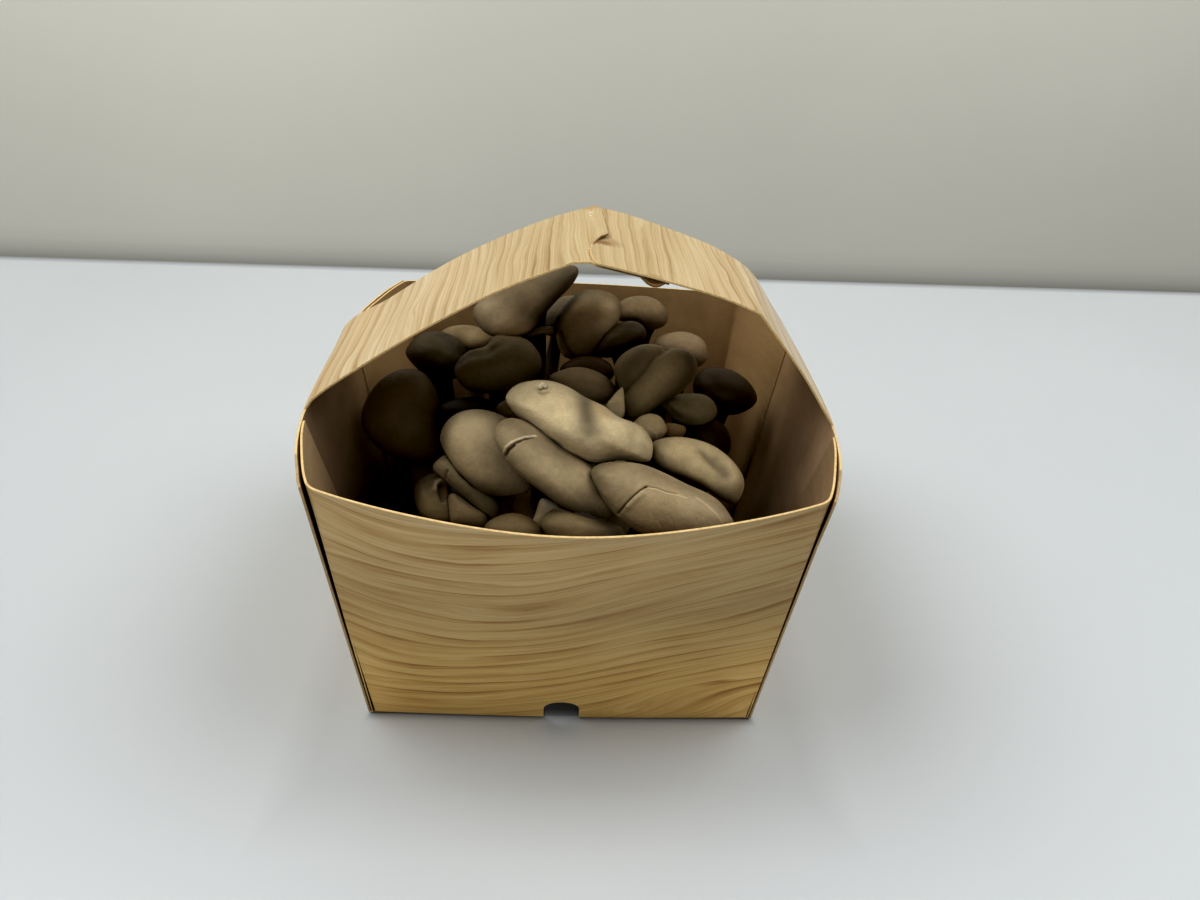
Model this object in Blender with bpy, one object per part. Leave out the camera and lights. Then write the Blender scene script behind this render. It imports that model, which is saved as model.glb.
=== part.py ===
"""A folded card carry basket filled with cut clusters of oyster mushrooms.

The basket is one folded blank: a base, four walls that lean out and bulge, glued corner
flaps and two handle arms that lock over the middle. It is split at its creases, with a
hair gap at each, so that every panel is a closed solid. Three clusters stand in it, each
a foot that forks into stems with a cap on every stem.

Sizes below are in millimetres and angles in degrees; the meshes are made in metres.
The origin is the middle of the base's underside, +Z is up, and -Y is the front.
"""
import math

import bmesh
import bpy
import numpy as np
from mathutils import Matrix

MM = 0.001
GAP = 0.3

# The card and the four walls. Half sizes are measured at the base and at the rim.
CARD = 0.8
RIM_HEIGHT = 106.6
BASE_HALF_WIDTH = 69.6
RIM_HALF_WIDTH = 79.0
BASE_HALF_DEPTH = 75.8
RIM_HALF_DEPTH = 86.8
FRONT_BULGE = 20.9
BACK_BULGE = 5.2
END_BULGE_BROAD = 0.43
BASE_CLEARANCE = 0.1
SIDE_BASE_HALF = 70.8
SIDE_RIM_HALF = 80.6
SIDE_BULGE = 12.2
SIDE_BULGE_POWER = 3.4
FLAP_INSET = 1.5
FLAP_START = 1.6
FLAP_FOOT = 1.4
# Distance of each flap's free edge from the middle of the side wall, at base and rim.
FLAP_EDGES = {"front": (28.0, 47.0), "back": (15.0, 34.5)}

# The half round notch cut through the crease at the foot of the front and back panels.
NOTCH_WIDTH = 13.0
NOTCH_STRAIGHT = 6.6
NOTCH_ARC = 4.5
NOTCH_REACH_IN = 70.0
NOTCH_REACH_OUT = 84.0

# The handle. Each arm rises from a side wall; the profiles run from the rim to the other
# arm as (x, z), once along the front edge and once along the back edge.
HANDLE_FRONT_Y = -38.7
HANDLE_BACK_Y = 24.5
HANDLE_FRONT = [
    (-92.0, 107.3), (-88.2, 110.8), (-70.5, 123.9), (-44.0, 141.2), (-24.7, 152.1),
    (-10.0, 158.4), (2.0, 162.3), (14.0, 160.3), (30.0, 157.0), (50.3, 151.4),
    (60.3, 147.4), (76.5, 127.8), (92.0, 107.3),
]
HANDLE_BACK = [
    (-92.6, 107.3), (-91.4, 109.4), (-72.6, 122.8), (-46.0, 140.4), (-27.0, 150.3),
    (-6.6, 158.9), (7.0, 162.9), (19.8, 159.9), (36.0, 155.0), (55.8, 147.7),
    (67.0, 140.9), (79.8, 124.6), (92.6, 107.3),
]
# The lock. The arms are slit to half width; at the back the left arm lies over the right,
# at the front the right arm lies over the left. Stations count along the profiles above.
SLIT_HALF = 0.006
LAYER_DROP = 1.3
LEFT_DIP_START = 5.2
LEFT_ROOT = 5.8
LEFT_DIP_END = 5.95
LEFT_OVER_END = 6.35
LEFT_UNDER_END = 7.9
RIGHT_DIP_START = 7.2
RIGHT_ROOT = 6.62
RIGHT_DIP_END = 6.5
RIGHT_OVER_END = 6.1
RIGHT_UNDER_END = 4.8
TONGUE_START = 7.45
TONGUE_TIP = 7.7
TONGUE_DROP = 2.6

# Cap table: name, centre, length, width, thickness, heading of the long axis, its rise,
# the tilt about it, sideways bend of the outline, cluster, shade.
CAPS = [
    ("cap_long_top", (1.6, -43.6, 108.0), 53.0, 26.0, 15.5, -11, -13, 12, -0.10, "front", "pale"),
    ("cap_long_slit", (-6.4, -58.0, 96.5), 49.5, 24.0, 13.5, -24, -31, 25, 0.04, "front", "pale"),
    ("cap_cracked", (29.8, -66.4, 92.5), 50.0, 26.0, 14.5, -12, -15, 25, 0.05, "front", "pale"),
    ("cap_right_bruised", (44.5, -47.4, 92.0), 35.5, 21.5, 12.0, -16, -20, 20, 0.05, "front", "pale"),
    ("cap_left_round", (-31.4, -39.6, 91.0), 35.5, 27.0, 13.5, -30, -37, 40, 0.0, "front", "pale"),
    ("cap_curled", (-34.5, -46.0, 79.0), 30.0, 13.0, 9.0, -28, -35, 20, 0.12, "front", "pale"),
    ("cap_front_middle", (4.3, -79.5, 89.0), 30.0, 18.0, 12.5, -5, -4, 20, 0.0, "front", "pale"),
    ("cap_front_left", (-18.0, -81.0, 88.5), 20.0, 16.0, 11.0, -5, -4, 20, 0.0, "front", "pale"),
    ("cap_low_left", (-50.5, -46.0, 75.0), 20.0, 17.0, 10.0, -12, -14, 20, 0.0, "front", "pale"),
    ("cap_tall_back", (-22.0, 43.0, 114.0), 48.0, 25.0, 12.0, 23, 36, 30, 0.0, "back_left", "dark"),
    ("cap_back_double", (-30.0, 15.0, 99.5), 36.5, 26.0, 15.5, 2, 8, 25, 0.06, "back_left", "dark"),
    ("cap_back_corner", (-56.0, 36.0, 94.0), 31.0, 24.5, 15.0, -8, -7, 15, 0.0, "back_left", "dark"),
    ("cap_left_large", (-67.0, 5.5, 79.5), 43.0, 32.0, 18.0, -43, -47, 35, 0.0, "back_left", "dark"),
    ("cap_left_low", (-42.0, 0.0, 84.5), 24.5, 20.0, 12.0, 5, 13, 15, 0.0, "back_left", "dark"),
    ("cap_back_round", (6.6, 43.0, 107.0), 29.5, 27.0, 15.5, -53, -52, 35, 0.0, "back_right", "dark"),
    ("cap_back_lobe", (22.0, 35.5, 103.5), 22.0, 15.5, 10.5, 7, 15, 15, 0.0, "back_right", "dark"),
    ("cap_back_small", (33.0, 68.5, 102.0), 24.5, 20.5, 13.0, -7, -6, 10, 0.0, "back_right", "dark"),
    ("cap_kidney", (35.5, 6.0, 99.5), 39.5, 23.0, 13.5, 25, 38, 30, 0.10, "back_right", "dark"),
    ("cap_back_pale", (50.0, 53.5, 92.5), 26.5, 21.0, 13.0, -9, -10, 10, 0.0, "back_right", "dark"),
    ("cap_right_black", (65.5, 25.5, 86.5), 29.0, 24.0, 15.0, -10, -11, 15, 0.0, "back_right", "dark"),
    ("cap_right_low", (48.0, 4.0, 87.0), 24.0, 17.5, 11.0, -2, 1, 15, 0.0, "back_right", "dark"),
    ("cap_centre_low", (5.5, 10.5, 93.0), 29.0, 21.0, 13.5, -4, -1, 10, 0.0, "back_right", "dark"),
    ("cap_right_hidden", (57.0, 0.0, 75.5), 21.0, 17.5, 11.5, -18, -23, 10, 0.0, "back_right", "dark"),
]
CAP_SEGMENTS = 14
CAP_RINGS = 8
CAP_TOP_SHARE = 0.6
CAP_EDGE_POWER = 0.85
CAP_DOME_POWER = 1.1
BEND_REACH = 4.0
BEND_MIDDLE = 0.4

# Each cluster's foot stands on the base: centre x, y, half width, half depth, height.
FEET = {
    "front": (-2.0, -44.0, 37.0, 26.0, 46.0),
    "back_left": (-37.0, 20.0, 28.0, 33.0, 50.0),
    "back_right": (28.0, 27.0, 34.0, 35.0, 50.0),
}
FOOT_BOTTOM = 1.2
FOOT_SEGMENTS = 16
FOOT_RINGS = 5
FOOT_EDGE_POWER = 0.7
FOOT_RIPPLE = 0.05
STEM_SEGMENTS = 10
STEM_SINK = 0.3
STEM_ROOT_HEIGHT = 0.9
STEM_SPREAD = 0.66
STEM_BOTTOM_RADIUS = 8.2
STEM_TOP_SHARE = 0.29
STEM_TOP_LIMIT = 6.2
STEM_MIDDLE_SWELL = 0.94

# How firmly each kind of body keeps its form where two press together.
FOOT_FIRMNESS = 500.0
CAP_FIRMNESS = 100.0
CAP_FIRMNESS_STEP = 0.9
STEM_FIRMNESS = 0.5
PRESS_ROUNDS = 40

COLOURS = {
    "card": (0.46, 0.31, 0.13),
    "pale": (0.27, 0.21, 0.14),
    "dark": (0.075, 0.052, 0.032),
    "stem": (0.42, 0.35, 0.25),
    "foot": (0.36, 0.29, 0.19),
}


def lerp(start, end, share):
    return start + (end - start) * share


def smooth(share):
    share = min(max(share, 0.0), 1.0)
    return share * share * (3.0 - 2.0 * share)


def make_material(name, colour, roughness):
    material = bpy.data.materials.new(name)
    material.use_nodes = True
    shader = material.node_tree.nodes["Principled BSDF"]
    shader.inputs["Base Color"].default_value = (*colour, 1.0)
    shader.inputs["Roughness"].default_value = roughness
    shader.inputs["Metallic"].default_value = 0.0
    return material


def add_object(name, bm, parent, colour, roughness, sharp_angle=40.0):
    """Turn a bmesh in millimetres into a named object in metres."""
    bm.transform(Matrix.Scale(MM, 4))
    mesh = bpy.data.meshes.new(name)
    bm.to_mesh(mesh)
    bm.free()
    mesh.shade_smooth()
    mesh.set_sharp_from_angle(angle=math.radians(sharp_angle))
    mesh.materials.append(make_material(name, colour, roughness))
    obj = bpy.data.objects.new(name, mesh)
    obj.parent = parent
    bpy.context.scene.collection.objects.link(obj)
    return obj


def sheet(surface, columns, rows, flip=False, keep=None):
    """An open grid over surface(u, v); keep(column, row) may leave cells out."""
    bm = bmesh.new()
    grid = [[bm.verts.new(surface(u, v)) for u in columns] for v in rows]
    for row in range(len(rows) - 1):
        for column in range(len(columns) - 1):
            if keep is not None and not keep(column, row):
                continue
            corners = [
                grid[row][column],
                grid[row][column + 1],
                grid[row + 1][column + 1],
                grid[row + 1][column],
            ]
            if flip:
                corners.reverse()
            bm.faces.new(corners)
    loose = [vert for vert in bm.verts if not vert.link_faces]
    bmesh.ops.delete(bm, geom=loose, context="VERTS")
    return bm


def add_card(name, bm, parent, offset=-1.0):
    """A sheet of card: the grid is its outer face unless offset says otherwise."""
    obj = add_object(name, bm, parent, COLOURS["card"], 0.6)
    solid = obj.modifiers.new("Card", "SOLIDIFY")
    solid.thickness = CARD * MM
    solid.offset = offset
    solid.use_even_offset = True
    return obj


def steps(start, end, count):
    return [lerp(start, end, index / count) for index in range(count + 1)]


def end_bulge(s):
    """How far the front or back rim stands out at share s of the half width."""
    flat = 1.0 - s * s
    return END_BULGE_BROAD * flat + (1.0 - END_BULGE_BROAD) * flat * flat


def end_wall(side, bulge):
    """Outer face of the front (side -1) or back (side +1) panel."""
    def surface(s, w):
        x = s * lerp(BASE_HALF_WIDTH, RIM_HALF_WIDTH, w)
        y = lerp(BASE_HALF_DEPTH, RIM_HALF_DEPTH, w) + bulge * end_bulge(s) * w
        return (x, side * y, RIM_HEIGHT * w)
    return surface


def side_x(t, w):
    bulge = SIDE_BULGE * (1.0 - abs(t) ** SIDE_BULGE_POWER)
    return lerp(SIDE_BASE_HALF, SIDE_RIM_HALF, w) + bulge * w


def side_wall(side):
    def surface(t, w):
        y = t * lerp(BASE_HALF_DEPTH, RIM_HALF_DEPTH, w)
        return (side * side_x(t, w), y, RIM_HEIGHT * w)
    return surface


def corner_flap(side, end, edge):
    """The flap folded from an end panel and glued inside a side wall."""
    def surface(share, w):
        half_depth = lerp(BASE_HALF_DEPTH, RIM_HALF_DEPTH, w)
        near = half_depth - FLAP_START
        far = lerp(edge[0], edge[1], w)
        depth = lerp(near, far, share)
        x = side_x(depth / half_depth, w) - FLAP_INSET
        return (side * x, end * depth, RIM_HEIGHT * w)
    return surface


def add_notch_cutter(name, end, parent):
    """Cutter for a notch: an arched outline extruded through the panel and the base edge."""
    half = NOTCH_WIDTH / 2
    outline = [(-half, -2.0), (half, -2.0)]
    for index in range(9):
        turn = math.pi * index / 8
        outline.append((half * math.cos(turn), NOTCH_STRAIGHT + NOTCH_ARC * math.sin(turn)))
    bm = bmesh.new()
    ring = [bm.verts.new((x, end * NOTCH_REACH_IN, z)) for x, z in outline]
    face = bm.faces.new(ring)
    extruded = bmesh.ops.extrude_face_region(bm, geom=[face])["geom"]
    moved = [item for item in extruded if isinstance(item, bmesh.types.BMVert)]
    reach = NOTCH_REACH_OUT - NOTCH_REACH_IN
    bmesh.ops.translate(bm, verts=moved, vec=(0.0, end * reach, 0.0))
    bmesh.ops.recalc_face_normals(bm, faces=bm.faces)
    cutter = add_object(name, bm, parent, COLOURS["card"], 0.6)
    cutter.hide_render = True
    cutter.display_type = "WIRE"
    return cutter


def cut(obj, cutter):
    boolean = obj.modifiers.new("Notch", "BOOLEAN")
    boolean.operation = "DIFFERENCE"
    boolean.solver = "EXACT"
    boolean.object = cutter


def add_base(parent):
    half_x = BASE_HALF_WIDTH
    half_y = BASE_HALF_DEPTH - CARD - GAP - BASE_CLEARANCE
    bm = sheet(lambda u, v: (u, v, 0.0), steps(-half_x, half_x, 2), steps(-half_y, half_y, 2))
    return add_card("base_panel", bm, parent, offset=1.0)


def add_walls(parent):
    across = steps(-1.0, 1.0, 12)
    along = steps(-1.0, 1.0, 10)
    up = steps(0.0, 1.0, 3)
    front = add_card("front_panel", sheet(end_wall(-1, FRONT_BULGE), across, up), parent)
    back = add_card("back_panel", sheet(end_wall(1, BACK_BULGE), across, up, flip=True), parent)
    add_card("left_wall", sheet(side_wall(-1), along, up, flip=True), parent)
    add_card("right_wall", sheet(side_wall(1), along, up), parent)
    return front, back


def add_flaps(parent):
    shares = steps(0.0, 1.0, 3)
    up = steps(FLAP_FOOT / RIM_HEIGHT, 0.999, 2)
    for side, side_name in ((-1, "left"), (1, "right")):
        for end, end_name in ((-1, "front"), (1, "back")):
            surface = corner_flap(side, end, FLAP_EDGES[end_name])
            bm = sheet(surface, shares, up, flip=side * end > 0)
            add_card(f"glue_flap_{end_name}_{side_name}", bm, parent)


def profile_point(profile, station):
    index = min(int(station), len(profile) - 2)
    share = station - index
    x = lerp(profile[index][0], profile[index + 1][0], share)
    z = lerp(profile[index][1], profile[index + 1][1], share)
    return x, z


def handle_point(across, station):
    """Middle of the card at a share across the strip and a station along the arch."""
    front_x, front_z = profile_point(HANDLE_FRONT, station)
    back_x, back_z = profile_point(HANDLE_BACK, station)
    x = lerp(front_x, back_x, across)
    y = lerp(HANDLE_FRONT_Y, HANDLE_BACK_Y, across)
    z = lerp(front_z, back_z, across)
    last = len(HANDLE_FRONT) - 1
    if station in (0, last):
        x = math.copysign(side_x(y / RIM_HALF_DEPTH, 1.0) - CARD / 2, x)
    return x, y, z


def arm_columns():
    return [0.0, 0.25, 0.5 - SLIT_HALF, 0.5 + SLIT_HALF, 0.75, 1.0]


def add_left_arm(parent):
    """Rises from the left wall; its front finger dips under the right arm."""
    stations = [0, 1, 2, 3, 4, 5, LEFT_ROOT, LEFT_DIP_END, LEFT_OVER_END, 7]
    stations += [TONGUE_START, TONGUE_TIP, LEFT_UNDER_END]
    columns = arm_columns()

    def surface(across, station):
        x, y, z = handle_point(across, station)
        edge = smooth((station - LEFT_DIP_START) / (LEFT_ROOT - LEFT_DIP_START))
        inner = smooth((station - LEFT_ROOT) / (LEFT_DIP_END - LEFT_ROOT))
        if across < 0.5:
            z -= LAYER_DROP * lerp(edge, inner, across * 2.0)
        if across == 0.0 and station == TONGUE_TIP:
            z -= TONGUE_DROP
        return (x, y, z)

    def keep(column, row):
        if stations[row] < LEFT_ROOT:
            return True
        if column < 2:
            return True
        return column > 2 and stations[row] < LEFT_OVER_END

    bm = sheet(surface, columns, stations, keep=keep, flip=True)
    return add_card("handle_arm_left", bm, parent, offset=0.0)


def add_right_arm(parent):
    """Rises from the right wall; its back finger dips under the left arm."""
    last = len(HANDLE_FRONT) - 1
    stations = [last, 11, 10, 9, 8, 7, RIGHT_ROOT, RIGHT_DIP_END]
    stations += [RIGHT_OVER_END, 5.5, RIGHT_UNDER_END]
    columns = arm_columns()

    def surface(across, station):
        x, y, z = handle_point(across, station)
        edge = smooth((RIGHT_DIP_START - station) / (RIGHT_DIP_START - RIGHT_ROOT))
        inner = smooth((RIGHT_ROOT - station) / (RIGHT_ROOT - RIGHT_DIP_END))
        if across > 0.5:
            z -= LAYER_DROP * lerp(inner, edge, across * 2.0 - 1.0)
        return (x, y, z)

    def keep(column, row):
        if stations[row] > RIGHT_ROOT:
            return True
        if column > 2:
            return True
        return column < 2 and stations[row] > RIGHT_OVER_END

    bm = sheet(surface, columns, stations, keep=keep)
    return add_card("handle_arm_right", bm, parent, offset=0.0)


def turn_matrix(heading, rise, tilt):
    spin = Matrix.Rotation(math.radians(heading), 3, "Z")
    lift = Matrix.Rotation(-math.radians(rise), 3, "Y")
    roll = Matrix.Rotation(math.radians(tilt), 3, "X")
    return np.array(spin @ lift @ roll)


def cap_points(length, width, thickness, bend):
    """A bun: domed above, flatter below, with an outline that may bend like a bean."""
    points = [(0.0, 0.0, CAP_TOP_SHARE * thickness)]
    for ring in range(1, CAP_RINGS):
        latitude = math.pi * (0.5 - ring / CAP_RINGS)
        radius = math.cos(latitude) ** CAP_EDGE_POWER
        rise = math.sin(latitude)
        share = CAP_TOP_SHARE if rise > 0 else 1.0 - CAP_TOP_SHARE
        height = math.copysign(abs(rise) ** CAP_DOME_POWER, rise) * share * thickness
        for segment in range(CAP_SEGMENTS):
            turn = 2 * math.pi * segment / CAP_SEGMENTS
            along = radius * math.cos(turn)
            shift = BEND_REACH * bend * (BEND_MIDDLE - along * along)
            aside = radius * math.sin(turn) + shift
            points.append((along * length / 2, aside * width / 2, height))
    points.append((0.0, 0.0, -(1.0 - CAP_TOP_SHARE) * thickness))
    return np.array(points)


def foot_points(centre_x, centre_y, half_x, half_y, height):
    """A low mound with a flat underside."""
    points = []
    for ring in range(FOOT_RINGS):
        latitude = 0.5 * math.pi * ring / FOOT_RINGS
        radius = math.cos(latitude) ** FOOT_EDGE_POWER
        for segment in range(FOOT_SEGMENTS):
            turn = 2 * math.pi * segment / FOOT_SEGMENTS
            ripple = 1.0 + FOOT_RIPPLE * math.sin(3 * turn + centre_x)
            x = centre_x + half_x * radius * ripple * math.cos(turn)
            y = centre_y + half_y * radius * ripple * math.sin(turn)
            points.append((x, y, FOOT_BOTTOM + height * math.sin(latitude)))
    points.append((centre_x, centre_y, FOOT_BOTTOM + height))
    return np.array(points)


def stem_points(cap_centre, cap_up, cap_width, cap_thickness, foot):
    """A stem from the cluster's foot to the underside of its cap."""
    centre_x, centre_y, half_x, half_y, height = foot
    top = np.array(cap_centre) - cap_up * cap_thickness * STEM_SINK
    away = np.array([(top[0] - centre_x) / half_x, (top[1] - centre_y) / half_y])
    away *= STEM_SPREAD / max(1.0, float(np.hypot(*away)))
    lift = math.sqrt(1.0 - min(float(away @ away), 0.9))
    bottom = np.array([
        centre_x + away[0] * half_x,
        centre_y + away[1] * half_y,
        FOOT_BOTTOM + height * lift * STEM_ROOT_HEIGHT,
    ])
    axis = (top - bottom) / np.linalg.norm(top - bottom)
    side = np.cross(axis, (0.0, 1.0, 0.0))
    side /= np.linalg.norm(side)
    other = np.cross(axis, side)
    top_radius = min(STEM_TOP_SHARE * cap_width, STEM_TOP_LIMIT)
    points = []
    for share in (0.0, 0.5, 1.0):
        swell = STEM_MIDDLE_SWELL if share == 0.5 else 1.0
        radius = lerp(STEM_BOTTOM_RADIUS, top_radius, share) * swell
        middle = bottom + (top - bottom) * share
        for segment in range(STEM_SEGMENTS):
            turn = 2 * math.pi * segment / STEM_SEGMENTS
            points.append(middle + radius * (math.cos(turn) * side + math.sin(turn) * other))
    return np.array(points)


def sphere_directions(count):
    turns = np.arange(count) * math.pi * (3.0 - math.sqrt(5.0))
    z = 1.0 - 2.0 * (np.arange(count) + 0.5) / count
    r = np.sqrt(1.0 - z * z)
    return np.stack([r * np.cos(turns), r * np.sin(turns), z], axis=1)


def separation(first, second, directions):
    """The direction along which two convex point sets overlap least, and that overlap."""
    tries = directions
    best = None
    for reach in (0.12, 0.04, 0.012, 0.0):
        overlap = (first @ tries.T).max(axis=0) - (second @ tries.T).min(axis=0)
        index = int(np.argmin(overlap))
        if best is None or overlap[index] < best[1]:
            best = (tries[index], float(overlap[index]))
        tries = best[0] + reach * directions[::6]
        tries = tries / np.linalg.norm(tries, axis=1)[:, None]
    return best


def press_together(bodies):
    """Flatten convex bodies where they touch, so that a hair gap is left between them."""
    directions = sphere_directions(480)
    limits = {name: [] for name in bodies}
    names = list(bodies)
    for index, name in enumerate(names):
        points, firmness = bodies[name]
        middle = points.mean(axis=0)
        reach = np.linalg.norm(points - middle, axis=1).max()
        for other in names[index + 1:]:
            other_points, other_firmness = bodies[other]
            other_middle = other_points.mean(axis=0)
            other_reach = np.linalg.norm(other_points - other_middle, axis=1).max()
            if np.linalg.norm(other_middle - middle) > reach + other_reach + GAP:
                continue
            normal, overlap = separation(points, other_points, directions)
            if overlap < -GAP:
                continue
            share = other_firmness / (firmness + other_firmness)
            limit = float((points @ normal).max()) - share * (overlap + GAP)
            limits[name].append((normal, limit))
            limits[other].append((-normal, -(limit + GAP)))
    pressed = {}
    for name in names:
        points = bodies[name][0].copy()
        for _ in range(PRESS_ROUNDS):
            for normal, limit in limits[name]:
                beyond = np.maximum(points @ normal - limit, 0.0)
                points -= beyond[:, None] * normal
        pressed[name] = points
    return pressed


def hull(points):
    """The closed convex body round a set of points."""
    bm = bmesh.new()
    for point in points:
        bm.verts.new(point)
    bmesh.ops.remove_doubles(bm, verts=bm.verts, dist=0.05)
    result = bmesh.ops.convex_hull(bm, input=bm.verts)
    spare = [item for item in result["geom_interior"] if isinstance(item, bmesh.types.BMVert)]
    bmesh.ops.delete(bm, geom=spare, context="VERTS")
    loose = [vert for vert in bm.verts if not vert.link_faces]
    bmesh.ops.delete(bm, geom=loose, context="VERTS")
    bmesh.ops.recalc_face_normals(bm, faces=bm.faces)
    return bm


def add_mushrooms(parent):
    bodies = {}
    looks = {}
    stems = {}
    for rank, row in enumerate(CAPS):
        name, centre, length, width, thickness, heading, rise, tilt, bend, cluster, shade = row
        turn = turn_matrix(heading, rise, tilt)
        points = cap_points(length, width, thickness, bend) @ turn.T + np.array(centre)
        bodies[name] = (points, CAP_FIRMNESS * CAP_FIRMNESS_STEP ** rank)
        looks[name] = (COLOURS[shade], 0.55)
        stem_name = name.replace("cap_", "stem_")
        stem = stem_points(centre, turn[:, 2], width, thickness, FEET[cluster])
        stems[stem_name] = (stem, STEM_FIRMNESS)
        looks[stem_name] = (COLOURS["stem"], 0.7)
    bodies.update(stems)
    for cluster, foot in FEET.items():
        name = f"{cluster}_cluster_foot"
        bodies[name] = (foot_points(*foot), FOOT_FIRMNESS)
        looks[name] = (COLOURS["foot"], 0.8)
    for name, points in press_together(bodies).items():
        colour, roughness = looks[name]
        add_object(name, hull(points), parent, colour, roughness, sharp_angle=50.0)


def build():
    for obj in list(bpy.data.objects):
        bpy.data.objects.remove(obj, do_unlink=True)
    basket = bpy.data.objects.new("basket", None)
    bpy.context.scene.collection.objects.link(basket)
    base = add_base(basket)
    front, back = add_walls(basket)
    add_flaps(basket)
    add_left_arm(basket)
    add_right_arm(basket)
    for end, panel, name in ((-1, front, "notch_cutter_front"), (1, back, "notch_cutter_back")):
        cutter = add_notch_cutter(name, end, basket)
        cut(panel, cutter)
        cut(base, cutter)
    for obj in basket.children:
        if obj.modifiers:
            obj.modifiers.new("Shading", "WEIGHTED_NORMAL")
    add_mushrooms(basket)


build()
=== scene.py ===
"""Looks of a folded card carry basket filled with cut clusters of oyster mushrooms.

Shapes are worked out in millimetres and made in metres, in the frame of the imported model:
the origin is the middle of the base's underside, +Z is up and -Y is the front.
"""

import math

import bpy
import numpy as np
from mathutils import Matrix, Vector
from mathutils.bvhtree import BVHTree


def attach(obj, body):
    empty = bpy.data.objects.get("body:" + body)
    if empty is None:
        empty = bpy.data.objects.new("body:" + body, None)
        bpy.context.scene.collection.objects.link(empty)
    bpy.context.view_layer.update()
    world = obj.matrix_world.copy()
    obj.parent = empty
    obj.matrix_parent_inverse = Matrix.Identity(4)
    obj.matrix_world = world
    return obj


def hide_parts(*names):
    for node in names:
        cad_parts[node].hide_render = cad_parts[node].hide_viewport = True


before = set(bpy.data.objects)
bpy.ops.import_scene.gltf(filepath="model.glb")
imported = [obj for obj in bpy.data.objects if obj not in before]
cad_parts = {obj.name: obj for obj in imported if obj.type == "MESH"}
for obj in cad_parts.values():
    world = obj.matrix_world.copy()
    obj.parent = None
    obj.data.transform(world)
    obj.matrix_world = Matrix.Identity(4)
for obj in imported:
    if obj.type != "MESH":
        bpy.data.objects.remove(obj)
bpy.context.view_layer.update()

MM = 0.001

# The photograph's camera, and its image size, which pixel positions below refer to.
IMAGE_WIDTH = 1200
IMAGE_HEIGHT = 900
FOCAL_PIXELS = 903.0
SENSOR = 36.0
CAMERA_PLACE = (-4.35, -313.17, 258.97)
CAMERA_RIGHT = (0.9985, -0.0234, 0.0495)
CAMERA_DOWN = (0.0303, -0.5167, -0.8556)
CAMERA_FORWARD = (0.0456, 0.8558, -0.5152)

# The carton. Most sizes are the part's own; the bulge, the notch, the handle's points and the
# drop between the arms follow the photograph more closely.
CARD = 0.8
RIM_HEIGHT = 106.6
BASE_HALF_WIDTH = 69.6
RIM_HALF_WIDTH = 79.0
BASE_HALF_DEPTH = 75.8
RIM_HALF_DEPTH = 86.8
FRONT_BULGE = 21.8
FOOT_BULGE = 1.2
BACK_BULGE = 5.2
END_BULGE_BROAD = 0.43
SIDE_BASE_HALF = 70.8
SIDE_RIM_HALF = 80.6
SIDE_BULGE = 12.2
SIDE_BULGE_POWER = 3.4
FLAP_INSET = 1.5
FOOT_INSET = {-1: 0.6, 1: 1.3}
FOOT_WIDEN = {-1: 1.15, 1: 0.55}
BACK_LEFT_DRAW = 1.6
FLAP_FREE_INSET = 0.95
FLAP_EDGES = {-1: (28.0, 47.0), 1: (15.0, 34.5)}
FOLD_RADIUS = 0.6
RIM_FOLD_RADIUS = 2.8
FLAP_SAG = 0.55
WALL_FLARE_FROM = 0.86
LEFT_WALL_FLARE = (0.65, 0.9)
RIGHT_WALL_FLARE = 0.45
RIGHT_FLARE_FROM = 0.8
CREASE_SHARE = 0.012
NOTCH_WIDTH = 13.0
NOTCH_X = -0.5
NOTCH_STRAIGHT = 7.0
NOTCH_ARC = 4.9
NOTCH_LOW = -2.0
NOTCH_STEPS = 24
NOTCH_INNER = 60.0
NOTCH_OUTER = 86.0
HANDLE_FRONT_Y = -38.7
HANDLE_BACK_Y = 24.5
HANDLE_FRONT = [
    (-92.0, 107.3), (-88.2, 110.8), (-70.5, 123.9), (-44.0, 141.2), (-24.7, 152.1),
    (-1.9, 162.2), (4.4, 162.6), (14.0, 160.6), (30.0, 157.0), (50.3, 151.4),
    (60.3, 147.4), (76.5, 127.8), (92.0, 107.3),
]
HANDLE_BACK = [
    (-92.6, 107.3), (-91.4, 109.3), (-72.6, 122.4), (-46.0, 139.8), (-27.0, 149.7),
    (-6.6, 158.3), (6.4, 162.3), (19.8, 159.3), (36.0, 154.4), (55.8, 147.1),
    (67.0, 140.4), (79.8, 124.2), (92.6, 107.3),
]
APEX = 6
LAST_STATION = 12
HALVINGS = 40
LAYER_DROP = 0.88
KINKS = (0, APEX - 1, APEX, APEX + 4, LAST_STATION)
EDGE_CHAMFER = 0.12
SHARPEST_FOLD = 0.6
SHARP_ANGLE = 32

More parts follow.
